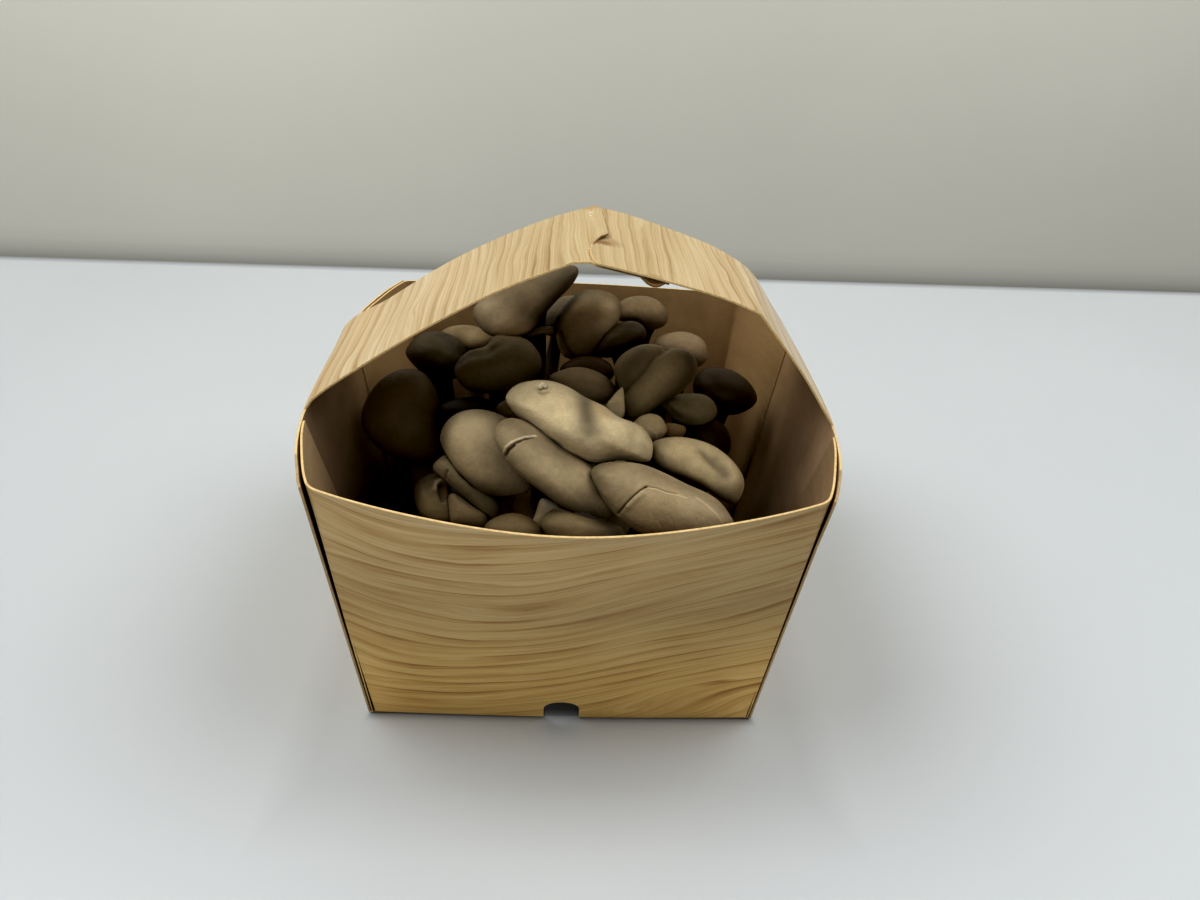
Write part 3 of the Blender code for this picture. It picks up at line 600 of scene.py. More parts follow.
# What the rings, veins, streaks, fine lines, fibres and clouds each add.
GRAIN_WEIGHTS = (0.50, 0.25, 0.50, 0.34, 0.16, 0.22)
GRAIN_OFFSET = -0.24
PRINT_TONES = (
    (0.22, srgb(224, 203, 163)), (0.42, srgb(212, 187, 143)),
    (0.60, srgb(198, 168, 121)), (0.90, srgb(161, 125, 80)),
)
ARM_TONE = srgb(206, 180, 140)
# How the light and the print's own tone change with height, from the foot to the rim.
PRINT_TINTS = (
    (0.0, (0.96, 0.87, 0.60)), (0.2, (0.97, 0.90, 0.63)), (0.4, (0.93, 0.88, 0.675)),
    (0.62, (0.83, 0.805, 0.725)), (0.93, (0.98, 0.965, 0.91)), (1.0, (0.92, 0.92, 0.91)),
)
# Painted shade on the front's right, painted light low on its corners, the arms' print darkened and cooled
# against the stronger light on them, and painted light on the arms away from the lock and at the right
# arm's lower end.
FRONT_RIGHT_SHADE = (0.79, 0.78, 0.75)
FRONT_FLANK_LIGHT = (1.13, 1.13, 1.16)
ARM_SHADE = (0.90, 0.945, 1.0)
ARM_FLANK_LIGHT = (1.15, 1.16, 1.24)
ARM_END_LIGHT = (1.06, 1.14, 1.42)
BOARD_TONES = ((0.3, srgb(158, 130, 91)), (0.7, srgb(186, 157, 115)))
# Painted shade low in the box and painted light near the rim, by share of the rim's height.
BOARD_SHADE_AND_LIGHT = (
    (0.1, (0.12, 0.12, 0.12)), (0.4, (0.38, 0.38, 0.42)), (0.72, (0.86, 0.90, 1.04)),
    (0.9, (1.22, 1.30, 1.56)), (1.0, (1.22, 1.32, 1.60)),
)
# Painted shade on the right flap and on the left wall's front half, painted light on the right wall.
RIGHT_FLAP_SHADE = (0.83, 0.81, 0.80)
LEFT_BOARD_SHADE = (0.64, 0.61, 0.64)
RIGHT_BOARD_LIGHT = (1.22, 1.22, 1.34)
LIP_DEPTH = 1.6
LIP_TONE = srgb(150, 122, 104)
EDGE_TONES = ((0.3, srgb(214, 186, 134)), (0.65, srgb(230, 206, 156)))
FRONT_EDGE_TINT = (0.64, 0.62, 0.64)
# Painted shade on the left arm's edges where they lie under the right arm.
COVERED_EDGE_SHADE = (0.32, 0.27, 0.20)
# Where each tint begins and where it is full: metres along an axis, or shares of the rim's height.
ARM_LEVELS = (1.0, 1.08)
ARM_TONE_SHARE = 0.12
RIGHTWARD_X = (-0.02, 0.07)
UPPER_LEVELS = (0.25, 0.6)
LOCK_X = 0.006
FROM_LOCK = (0.018, 0.06)
FLANK_X = (0.052, 0.066)
FLANK_LEVELS = (0.5, 0.15)
ARM_END_X = (0.06, 0.074)
SPOT_CORE = 0.4
FLAP_TINT_Y = (-0.04, -0.058)
FLAP_TINT_X = (0.02, 0.06)
LEFTWARD_X = (0.0, -0.03)
# Painted shade low on the left of the inside.
DEEP_Z = (0.075, 0.04)
DEEP_SHADE = 0.75
FORWARD_Y = (0.03, -0.015)
LEFT_BOARD_Y = (0.0, -0.04)
DEEP_EDGE_Z = (0.09, 0.05)
DEEP_EDGE_SHADE = 0.85
BOX_EDGE_Y = 0.066
FRONT_EDGE_Y = -0.068
COVERED_EDGE_X = (0.005, 0.008)
BOARD_CLOUD = (7.0, 4.0, 0.6)
BOARD_SPECK = (160.0, 3.0, 0.6)
EDGE_FUZZ = (700.0, 2.0)


def stretched(tree, along, height, scale_along, scale_across, detail):
    """Noise that is drawn out along the grain."""
    place = combine(tree, times(tree, along, scale_along), times(tree, height, scale_across))
    return noise_node(tree, place, 1.0, detail)


def printed_grain(tree, level, on_arm):
    """How dark the grain is; also its streaks and fibres, which give the relief."""
    split = axes_of(tree, add_node(tree, "ShaderNodeUVMap", uv_map="grain").outputs[0])
    along, across = split[0], split[1]
    height = across
    for scale_along, scale_across, detail, size in GRAIN_WAVES:
        wave = stretched(tree, along, across, scale_along, scale_across, detail)
        height = scaled(tree, wave, size, height)
    wave = noise_node(tree, object_place(tree), ARM_WAVE_SCALE, 1.0)
    wave = scaled(tree, wave, ARM_WAVE_SIZE, -ARM_WAVE_SIZE / 2)
    height = scaled(tree, wave, on_arm, height)

    rings = times(tree, height, RING_COUNT)
    ring = math_node(tree, "FRACT", rings)
    firm = stretched(tree, along, math_node(tree, "FLOOR", rings), *RING_NOISE)
    firm = math_node(tree, "MAXIMUM", scaled(tree, firm, *RING_CONTRAST), RING_LEAST)
    fall = times(tree, math_node(tree, "SUBTRACT", 1.0, ring), RING_FALL)
    edge = times(tree, math_node(tree, "POWER", ring, RING_POWER), math_node(tree, "MINIMUM", fall, 1.0))
    bold = grey_ramp(tree, level, RING_BOLDNESS)
    dark = times(tree, times(tree, edge, firm), bold)
    veins = times(tree, height, VEIN_COUNT)
    thin = math_node(tree, "POWER", math_node(tree, "FRACT", veins), VEIN_POWER)
    thin = times(tree, thin, stretched(tree, along, math_node(tree, "FLOOR", veins), *VEIN_NOISE))

    streak = stretched(tree, along, height, *STREAK_NOISE)
    fine = stretched(tree, along, height, *FINE_NOISE)
    fibre = stretched(tree, along, height, *FIBRE_NOISE)
    cloud = stretched(tree, along, across, *CLOUD_NOISE)
    value = GRAIN_OFFSET
    for part, weight in zip((dark, thin, streak, fine, fibre, cloud), GRAIN_WEIGHTS):
        value = scaled(tree, part, weight, value)
    return value, streak, fibre


def card_print():
    """Card printed with a wood grain; the UV map holds length and height of the grain."""
    material, tree, shader = make_material("card_print")
    place = object_place(tree)
    split = axes_of(tree, place)
    level = times(tree, split[2], 1.0 / (RIM_HEIGHT * MM))
    on_arm = fade(tree, level, *ARM_LEVELS)
    value, streak, fibre = printed_grain(tree, level, on_arm)
    colour = ramp_node(tree, value, PRINT_TONES)
    colour = mix_colour(tree, times(tree, on_arm, ARM_TONE_SHARE), colour, (*ARM_TONE, 1.0))

    normal = tree.nodes.new("ShaderNodeNewGeometry").outputs["True Normal"]
    ahead = math_node(tree, "LESS_THAN", axes_of(tree, normal)[1], -0.5)
    # Painted shade on the right of the front.
    right_shade = times(tree, fade(tree, split[0], *RIGHTWARD_X), fade(tree, level, *UPPER_LEVELS))
    colour = tint(tree, colour, FRONT_RIGHT_SHADE, times(tree, right_shade, ahead))
    colour = tint(tree, colour, ramp_node(tree, level, PRINT_TINTS))
    # The arms' print darkened and cooled against the stronger light on them: painted shade.
    colour = tint(tree, colour, ARM_SHADE, on_arm)
    # Painted light on the arms away from the lock.
    from_lock = math_node(tree, "ABSOLUTE", math_node(tree, "SUBTRACT", split[0], LOCK_X))
    pale = times(tree, fade(tree, from_lock, *FROM_LOCK), math_node(tree, "GREATER_THAN", level, 1.0))
    colour = tint(tree, colour, ARM_FLANK_LIGHT, pale)
    # Painted light low on the front's corners.
    flank_light = fade(tree, math_node(tree, "ABSOLUTE", split[0]), *FLANK_X)
    flank_light = times(tree, times(tree, flank_light, fade(tree, level, *FLANK_LEVELS)), ahead)
    colour = tint(tree, colour, FRONT_FLANK_LIGHT, flank_light)
    # Painted cool light at the right arm's lower end.
    colour = tint(tree, colour, ARM_END_LIGHT, times(tree, fade(tree, split[0], *ARM_END_X), on_arm))
    # Pale rubbed wear, and painted shade at the lock.
    for spot, reach, tone, share in WEAR_AND_SHADE_SPOTS:
        gap = add_node(tree, "ShaderNodeVectorMath", {0: place, 1: spot}, operation="DISTANCE")
        wear_and_shade = fade(tree, gap.outputs["Value"], reach * SPOT_CORE, reach, share, 0.0)
        colour = mix_colour(tree, wear_and_shade, colour, (*tone, 1.0))
    tree.links.new(colour, shader.inputs["Base Color"])
    tree.links.new(scaled(tree, fibre, 0.12, 0.48), shader.inputs["Roughness"])
    shader.inputs["Specular IOR Level"].default_value = 0.3
    add_bump(tree, shader, scaled(tree, fibre, 0.5, times(tree, streak, 0.5)), 0.12, 0.0002)
    return material


def card_board(name="card_board", side=0):
    """The carton's plain inside, with painted shade low down, on the left and on the right flap, and
    painted light near the rim and on the right wall; side is -1 or 1 for a side wall's own.
    """
    material, tree, shader = make_material(name)
    place = add_node(tree, "ShaderNodeUVMap", uv_map="grain").outputs[0]
    cloud = noise_node(tree, place, *BOARD_CLOUD)
    speck = noise_node(tree, place, *BOARD_SPECK)
    colour = ramp_node(tree, scaled(tree, speck, 0.4, times(tree, cloud, 0.6)), BOARD_TONES)
    split = axes_of(tree, object_place(tree))
    # Painted shade on the right flap.
    flap = times(tree, fade(tree, split[1], *FLAP_TINT_Y), fade(tree, split[0], *FLAP_TINT_X))
    colour = tint(tree, colour, RIGHT_FLAP_SHADE, flap)
    # Painted shade low on the left.
    leftward = fade(tree, split[0], *LEFTWARD_X)
    low = fade(tree, split[2], *DEEP_Z, 0.0, DEEP_SHADE)
    shade_factor = math_node(tree, "SUBTRACT", 1.0, times(tree, leftward, low))
    colour = tint(tree, colour, grey(tree, shade_factor))
    # Painted shade low down and painted light near the rim.
    shade_and_light = ramp_node(tree, times(tree, split[2], 1.0 / (RIM_HEIGHT * MM)), BOARD_SHADE_AND_LIGHT)
    colour = tint(tree, colour, shade_and_light, fade(tree, split[1], *FORWARD_Y))
    # Painted shade on the left wall's front half, painted light on the right wall.
    if side < 0:
        colour = tint(tree, colour, LEFT_BOARD_SHADE, fade(tree, split[1], *LEFT_BOARD_Y))
    if side > 0:
        colour = tint(tree, colour, RIGHT_BOARD_LIGHT)
    if side:
        # The lip in front of the fold is outside the box, and not as dark as its inside.
        lean = (RIM_HALF_DEPTH - BASE_HALF_DEPTH) / RIM_HEIGHT
        fold = scaled(tree, split[2], lean, (BASE_HALF_DEPTH - LIP_DEPTH) * MM)
        lip = math_node(tree, "GREATER_THAN", times(tree, split[1], -1.0), fold)
        colour = mix_colour(tree, lip, colour, (*LIP_TONE, 1.0))
    tree.links.new(colour, shader.inputs["Base Color"])
    shader.inputs["Roughness"].default_value = 0.72
    shader.inputs["Specular IOR Level"].default_value = 0.25
    add_bump(tree, shader, speck, 0.25, 0.0002)
    return material


def card_edge(name="card_edge", side=0):
    """Cut edges of the card, with painted shade low inside the box; those of a side wall are darker at its
    front end, and the left arm's end gets painted shade where it lies under the right arm.
    """
    material, tree, shader = make_material(name)
    place = object_place(tree)
    fuzz = noise_node(tree, place, *EDGE_FUZZ)
    colour = ramp_node(tree, fuzz, EDGE_TONES)
    split = axes_of(tree, place)
    # Painted shade on the edges low inside the box.
    low = fade(tree, split[2], *DEEP_EDGE_Z, 0.0, DEEP_EDGE_SHADE)
    within = math_node(tree, "LESS_THAN", math_node(tree, "ABSOLUTE", split[1]), BOX_EDGE_Y)
    shade_factor = math_node(tree, "SUBTRACT", 1.0, times(tree, low, within))
    colour = tint(tree, colour, grey(tree, shade_factor))
    if side:
        colour = tint(tree, colour, FRONT_EDGE_TINT, math_node(tree, "LESS_THAN", split[1], FRONT_EDGE_Y))
    if side < 0:
        # Painted shade on the left arm's edges under the right arm.
        colour = tint(tree, colour, COVERED_EDGE_SHADE, fade(tree, split[0], *COVERED_EDGE_X))
    tree.links.new(colour, shader.inputs["Base Color"])
    shader.inputs["Roughness"].default_value = 0.85
    add_bump(tree, shader, fuzz, 0.4, 0.0002)
    return material


# How closely the fibres lie, across and along them.
SKIN_FIBRES = (30.0, 3.6)
STEM_FIBRES = (9.0, 1.6)
SUBSURFACE_SCALE = 0.5
SKIN_CLOUD = (95.0, 4.0, 0.6)
SKIN_PATCH = (330.0, 3.0, 0.55)
SKIN_FINE = (1000.0, 3.0, 0.6)
SKIN_GRAIN = 0.26
SKIN_SHEEN = (0.92, 0.8, 0.6, 1.0)


def own_colour_and_fibres(tree, spacing, detail, roughness):
    """The colour that the mesh holds, and noise that is drawn out along its fibres."""
    base = add_node(tree, "ShaderNodeAttribute", attribute_name="skin").outputs["Color"]
    ray = axes_of(tree, add_node(tree, "ShaderNodeAttribute", attribute_name="radial").outputs["Vector"])
    across, along = spacing
    place = combine(tree, times(tree, ray[0], across), times(tree, ray[1], across),
                    times(tree, ray[2], along))
    return base, noise_node(tree, place, 1.0, detail, roughness)


def set_subsurface(shader, weight, radius):
    shader.inputs["Subsurface Weight"].default_value = weight
    shader.inputs["Subsurface Radius"].default_value = radius
    shader.inputs["Subsurface Scale"].default_value = SUBSURFACE_SCALE


def mushroom_skin(name, roughness, mottle, fibre_strength):
    """Skin coloured by the mesh's own skin colours, with fibres that run from the middle."""
    material, tree, shader = make_material(name)
    base, fibres = own_colour_and_fibres(tree, SKIN_FIBRES, 3.0, 0.6)
    place = object_place(tree)
    cloud = noise_node(tree, place, *SKIN_CLOUD)
    patch = noise_node(tree, place, *SKIN_PATCH)
    fine = noise_node(tree, place, *SKIN_FINE)
    shade = scaled(tree, cloud, mottle, 1.0 - mottle * 0.5)
    shade = scaled(tree, fibres, fibre_strength, shade)
    shade = scaled(tree, fine, SKIN_GRAIN, shade)
    shade = scaled(tree, patch, SKIN_GRAIN, shade)
    shade = math_node(tree, "SUBTRACT", shade, 0.5 * fibre_strength + SKIN_GRAIN)
    tree.links.new(tint(tree, base, grey(tree, shade)), shader.inputs["Base Color"])
    tree.links.new(scaled(tree, cloud, 0.16, roughness - 0.08), shader.inputs["Roughness"])
    shader.inputs["Specular IOR Level"].default_value = 0.26
    shader.inputs["Specular Tint"].default_value = SKIN_SHEEN
    set_subsurface(shader, 0.08, (0.004, 0.0025, 0.0015))
    relief = scaled(tree, fibres, 0.3, times(tree, fine, 0.25))
    relief = scaled(tree, patch, 0.9, relief)
    add_bump(tree, shader, relief, 0.4, 0.0007)
    return material


def stem_flesh():
    material, tree, shader = make_material("stem_flesh")
    base, fibres = own_colour_and_fibres(tree, STEM_FIBRES, 4.0, 0.65)
    shade = grey(tree, scaled(tree, fibres, 0.7, 0.62))
    tree.links.new(tint(tree, base, shade), shader.inputs["Base Color"])
    shader.inputs["Roughness"].default_value = 0.7
    set_subsurface(shader, 0.1, (0.005, 0.0035, 0.002))
    add_bump(tree, shader, fibres, 0.5, 0.0006)
    return material


def plain_material(name, colour, roughness, shade):
    """A plain surface; shade makes the painted shade factor that its colour is multiplied by."""
    material, tree, shader = make_material(name)
    place = object_place(tree)
    cloud = noise_node(tree, place, 3.0, 2.0)
    low = tuple(channel * 0.97 for channel in colour)
    plain = ramp_node(tree, cloud, [(0.3, low), (0.7, colour)])
    factor = shade(tree, axes_of(tree, place))
    plain = tint(tree, plain, grey(tree, factor))
    tree.links.new(plain, shader.inputs["Base Color"])
    shader.inputs["Roughness"].default_value = roughness
    return material


# The table's far edge runs at a slight slope; its ends are given in mm.
STAGE_REACH = 3000.0
TABLE_EDGE_ENDS = (320.5, 473.0)
TABLE_EDGE_Y = sum(TABLE_EDGE_ENDS) / 2
TABLE_EDGE_SLOPE = (TABLE_EDGE_ENDS[1] - TABLE_EDGE_ENDS[0]) / (2 * STAGE_REACH)
# Painted contact shadow on the table round the box.
CONTACT_REACH = 0.06
CONTACT_SHADE = ((0.0, 0.08), (0.475, 0.12), (0.496, 0.30), (0.504, 0.60), (0.53, 0.92), (0.56, 0.95),
                 (0.75, 0.91), (1.0, 1.0))
# Where the table's far edge covers the wall behind it, seen from the photograph's camera, in metres.
WALL_LINE_SLOPE = 0.00928
WALL_LINE_Z = -0.1839
WALL_LINE_REACH = 0.045
# Painted shade at the table's far edge and towards its left; painted light on the wall towards the left,
# and painted shade on it close above the table's edge.
TABLE_FADE = (0.0, 0.010, 0.5, 1.06)
TABLE_LEFT_FADE = (-0.1, -0.35, 1.0, 0.92)
WALL_LEFT_FADE = (0.1, -0.4, 1.0, 1.1)
WALL_LINE_SHADE = ((0.0, 0.58), (0.3, 0.80), (0.62, 0.93), (1.0, 0.98))


def table_shade(tree, place):
    """Painted shadow under the box and close to it, and painted shade at the soft far edge and towards the
    left.
    """
    x_gap = math_node(tree, "SUBTRACT", math_node(tree, "ABSOLUTE", place[0]), SIDE_BASE_HALF * MM)
    y_gap = math_node(tree, "SUBTRACT", math_node(tree, "ABSOLUTE", place[1]), BASE_HALF_DEPTH * MM)
    gap = math_node(tree, "MAXIMUM", scaled(tree, x_gap, 2.0, 0.001), y_gap)
    near = grey_ramp(tree, scaled(tree, gap, 1.0 / (2 * CONTACT_REACH), 0.5), CONTACT_SHADE)
    edge = scaled(tree, place[0], TABLE_EDGE_SLOPE, TABLE_EDGE_Y * MM)
    edge = fade(tree, math_node(tree, "SUBTRACT", edge, place[1]), *TABLE_FADE)
    leftward = fade(tree, place[0], *TABLE_LEFT_FADE)
    return times(tree, times(tree, near, edge), leftward)


def wall_shade(tree, place):
    """Painted shade close above the table's far edge, and painted light towards the left."""
    line = scaled(tree, place[0], WALL_LINE_SLOPE, WALL_LINE_Z)
    gap = math_node(tree, "SUBTRACT", place[2], line)
    leftward = fade(tree, place[0], *WALL_LEFT_FADE)
    near = grey_ramp(tree, times(tree, gap, 1.0 / WALL_LINE_REACH), WALL_LINE_SHADE)
    return times(tree, near, leftward)


# Meshes.

def make_object(name, points, faces, materials, uvs=None, indices=None, attributes=None):
    """A mesh object from points in millimetres."""
    mesh = bpy.data.meshes.new(name)
    mesh.from_pydata([tuple(point) for point in np.asarray(points) * MM], [], faces)
    for material in materials:
        mesh.materials.append(material)
    if uvs is not None:
        layer = mesh.uv_layers.new(name="grain")
        corners = np.zeros(len(mesh.loops), np.int64)
        mesh.loops.foreach_get("vertex_index", corners)
        layer.data.foreach_set("uv", np.asarray(uvs, np.float32)[corners].ravel())
    if indices is not None:
        mesh.polygons.foreach_set("material_index", indices)
    for key, (kind, field, values) in (attributes or {}).items():
        layer = mesh.attributes.new(key, kind, "POINT")
        layer.data.foreach_set(field, np.asarray(values, np.float32).ravel())
    mesh.shade_smooth()
    mesh.update()
    obj = bpy.data.objects.new(name, mesh)
    bpy.context.scene.collection.objects.link(obj)
    return obj


def ring_faces(rings, segments, start=0, downward=False):
    """Faces between rings of points that lie one after the other."""
    faces = []
    for row in range(rings - 1):
        first = start + row * segments
        for segment in range(segments):
            a = first + segment
            b = first + (segment + 1) % segments
            if downward:
                faces.append((a, a + segments, b + segments, b))
            else:
                faces.append((a, b, b + segments, a + segments))
    return faces


def fan(tip, start, segments, downward=False):
    """Triangles between a tip and the ring of points that begins at start."""
    pairs = [(start + a, start + (a + 1) % segments) for a in range(segments)]
    return [(tip, b, a) if downward else (tip, a, b) for a, b in pairs]


def name_seed(name):
    return sum(ord(letter) for letter in name)


def skin_attributes(colours, radial):
    """The mesh's own colours, and the directions along which its fibres run."""
    with_alpha = np.hstack([colours, np.ones((len(colours), 1))])
    return {"skin": ("FLOAT_COLOR", "color", with_alpha),
            "radial": ("FLOAT_VECTOR", "vector", np.array(radial))}


def apply_modifiers(obj):
    graph = bpy.context.evaluated_depsgraph_get()
    mesh = bpy.data.meshes.new_from_object(obj.evaluated_get(graph), depsgraph=graph)
    obj.modifiers.clear()
    obj.data = mesh
    return mesh


class Sheet:
    """Card built up from grids of points that share their common corners."""

    def __init__(self):
        self.points = []
        self.uvs = []
        self.faces = []
        self.known = {}

    def vertex(self, key, point, uv):
        if key not in self.known:
            self.known[key] = len(self.points)
            self.points.append(point)
            self.uvs.append(uv)
        return self.known[key]

    def grid(self, keys, placed, keep=None, flip=False):
        """placed holds a (point, uv) for each key; points with equal keys are one vertex."""
        for row in range(len(keys) - 1):
            for column in range(len(keys[0]) - 1):
                if keep is not None and not keep(row, column):
                    continue
                spots = [(row, column), (row, column + 1), (row + 1, column + 1), (row + 1, column)]
                face = [self.vertex(keys[r][c], *placed[r][c]) for r, c in spots]
                face = [index for place, index in enumerate(face) if index != face[place - 1]]
                if flip:
                    face.reverse()
                if len(face) > 2:
                    self.faces.append(face)


def boundary_edges(faces):
    """Edges of only one face, in that face's direction."""
    seen = set()
    for face in faces:
        for a, b in zip(face, face[1:] + face[:1]):
            seen.add((a, b))
    return [(a, b) for a, b in seen if (b, a) not in seen]


def finish_card(name, sheet, above, below, materials, cutter=None):
    """Gives a sheet its thickness, with a narrow chamfer on the cut edges."""
    points = np.array(sheet.points)
    count = len(points)
    normals = np.zeros((count, 3))
    flatness = np.zeros(count)
    weights = np.zeros(count)
    face_normals = []
    for face in sheet.faces:
        first, second = points[face[2]] - points[face[0]], points[face[-1]] - points[face[1]]
        cross = unit(np.cross(first, second), TINY)
        face_normals.append(cross)
        for index in face:
            normals[index] += cross
    normals = unit(normals, TINY)
    for face, normal in zip(sheet.faces, face_normals):
        for index in face:
            flatness[index] += normals[index] @ normal
            weights[index] += 1
    normals /= np.clip(flatness / np.maximum(weights, 1), SHARPEST_FOLD, 1.0)[:, None]

    edges = boundary_edges(sheet.faces)
    outward = np.zeros((count, 3))
    for a, b in edges:
        cross = unit(np.cross(points[b] - points[a], normals[a] + normals[b]), TINY)
        outward[a] += cross
        outward[b] += cross
    outward = unit(outward, TINY)
    rim = sorted({a for a, _ in edges} | {b for _, b in edges})
    rim_index = {index: row for row, index in enumerate(rim)}
    top = points + normals * above - outward * EDGE_CHAMFER
    bottom = points + normals * below - outward * EDGE_CHAMFER
    upper = points[rim] + normals[rim] * (above - EDGE_CHAMFER)
    lower = points[rim] + normals[rim] * (below + EDGE_CHAMFER)
    every = np.vstack([top, bottom, upper, lower])
    faces = [list(face) for face in sheet.faces]
    faces += [[index + count for index in reversed(face)] for face in sheet.faces]
    indices = [0] * len(sheet.faces) + [1] * len(sheet.faces)
    high, low = 2 * count, 2 * count + len(rim)
    for a, b in edges:
        near, far = rim_index[a], rim_index[b]
        faces.append([high + near, high + far, b, a])
        faces.append([low + near, low + far, high + far, high + near])
        faces.append([a + count, b + count, low + far, low + near])
    indices += [2] * (3 * len(edges))
    uvs = np.array(sheet.uvs)
    uvs = np.vstack([uvs, uvs, uvs[rim], uvs[rim]])
    obj = make_object(name, every, faces, materials, uvs=uvs, indices=indices)
    if cutter is not None:
        boolean = obj.modifiers.new("Notch", "BOOLEAN")
        boolean.operation = "DIFFERENCE"
        boolean.solver = "EXACT"
        boolean.material_mode = "TRANSFER"
        boolean.object = cutter
        apply_modifiers(obj)
        bpy.data.objects.remove(cutter)
    obj.data.set_sharp_from_angle(angle=math.radians(SHARP_ANGLE))
    return obj


FRONT_BULGE_EASE = 0.45
FOOT_WIDEN_POWER = 8
DRAW_FROM = 0.3
DRAW_OVER = 0.5


def end_bulge(s):
    flat = 1.0 - s * s
    return END_BULGE_BROAD * flat + (1.0 - END_BULGE_BROAD) * flat * flat


def front_bulge(s):
    """The front rim, as the photograph shows it."""
    return FRONT_BULGE * (1.0 - s * s) * (1.0 - FRONT_BULGE_EASE * s * s * (1.0 - abs(s)))


def draw_in(side, t, w):
    """The back end of the left wall leans in a little."""
    return BACK_LEFT_DRAW * w * float(smooth((t - DRAW_FROM) / DRAW_OVER)) if side < 0 else 0.0


def end_point(end, s, w):
    """A point of the front (-1) or back (1) panel; s goes across it and w up it."""
    x = s * lerp(BASE_HALF_WIDTH, RIM_HALF_WIDTH, w)
    if end < 0:
        side = -1 if s < 0 else 1
        x += side * FOOT_WIDEN[side] * (1.0 - w ** 4) * abs(s) ** FOOT_WIDEN_POWER
        bulge = front_bulge(s) * w + FOOT_BULGE * (1.0 - s * s) * (1.0 - w)
    else:
        x += draw_in(-1, 1.0, w) * s * s if s < 0 else 0.0
        bulge = BACK_BULGE * end_bulge(s) * w
    y = lerp(BASE_HALF_DEPTH, RIM_HALF_DEPTH, w) + bulge
    return np.array((x, end * y, RIM_HEIGHT * w))


def side_x(t, w):
    """How far out a side wall stands; t goes along it and w up it."""
    bulge = SIDE_BULGE * (1.0 - abs(t) ** SIDE_BULGE_POWER)
    return lerp(SIDE_BASE_HALF, SIDE_RIM_HALF, w) + bulge * w


def flap_point(side, end, depth, w):
    half_depth = lerp(BASE_HALF_DEPTH, RIM_HALF_DEPTH, w)
    free = lerp(*FLAP_EDGES[end], w)
    along = smooth((depth - free) / (half_depth - FOLD_RADIUS - free))
    inset = lerp(FLAP_FREE_INSET, FLAP_INSET, along) + FLAP_SAG * math.sin(math.pi * along) * w
    x = side_x(depth / half_depth, w) - inset - draw_in(side, end * depth / half_depth, w)
    return np.array((side * x, end * depth, RIM_HEIGHT * w))


def curve_corner(start, corner, end, share):
    first = lerp(start, corner, share)
    second = lerp(corner, end, share)
    return lerp(first, second, share)


# How far the printed grain of the front dips below level, by distance from the left edge.
GRAIN_ALONG = (0.0, 12.0, 25.0, 38.0, 50.0, 70.0, 92.0, 106.0, 125.0, 157.0)
GRAIN_DIP = (0.0, 4.8, 7.4, 7.6, 6.3, 0.6, -9.5, -13.8, -17.2, -20.6)
DIP_BLUR = (-8.0, -3.0, 3.0, 8.0)
CORNER_DIP = 20.0
CORNER_FROM = 95.0
CORNER_OVER = 60.0
CORNER_HEIGHT = 0.42
TOP_FROM = 0.75
FOOT_HEIGHT = 0.22
# Grain is measured in units of the UV map, and starts apart on each piece.
GRAIN_UNIT = 0.01
END_GRAIN_RISE = 1.03
SIDE_GRAIN_RISE = 1.02
BACK_GRAIN_START = 260.0
BASE_GRAIN_START = 500.0
SIDE_GRAIN_START = 330.0
ARM_GRAIN_STRETCH = 0.6
ARM_STRETCH_LENGTH = 30.0
ARM_GRAIN_GAIN = 26.0
ARM_GAIN_FROM = 55.0


def front_grain(x, slant, w):
    along = x + RIM_HALF_WIDTH
    dip = float(np.interp([along + shift for shift in DIP_BLUR], GRAIN_ALONG, GRAIN_DIP).mean())
    corner = smooth((along - CORNER_FROM) / CORNER_OVER) * smooth((CORNER_HEIGHT - w) / CORNER_HEIGHT)
    top = smooth((w - TOP_FROM) / (1.0 - TOP_FROM))
    foot = smooth((FOOT_HEIGHT - w) / FOOT_HEIGHT)
    dip = dip * (1.0 - 0.35 * top) * (1.0 - 0.5 * foot)
    return slant + dip - CORNER_DIP * corner * (1.0 - 0.4 * foot)


def back_grain(x, slant):
    return slant + 9.0 * math.sin(x / 34.0 + 0.8) + 5.0 * math.sin(x / 15.0 + slant / 40.0)


# How finely the sheets are divided.
FLAP_COLUMNS = 12
FOLD_COLUMNS = 5
PANEL_COLUMNS = 56
WALL_ROWS = 26
CREASE_ROWS = 5
BASE_ROWS = 24
SIDE_CREASE_ROWS = 4
WALL_END_COLUMNS = (14, 16)
ARM_COLUMNS = (13, 20)
SLIT_EDGE = 0.012
ARM_ROWS = 48
UNDER_ROWS = 30
HOOK_ROWS = 10
LENGTH_SAMPLES = 60
# Where a side wall's lowest and next to highest rows lie, as shares of the rim's height.
WALL_SHARES = (0.009, 0.994)
CREASE_OUT = 0.25


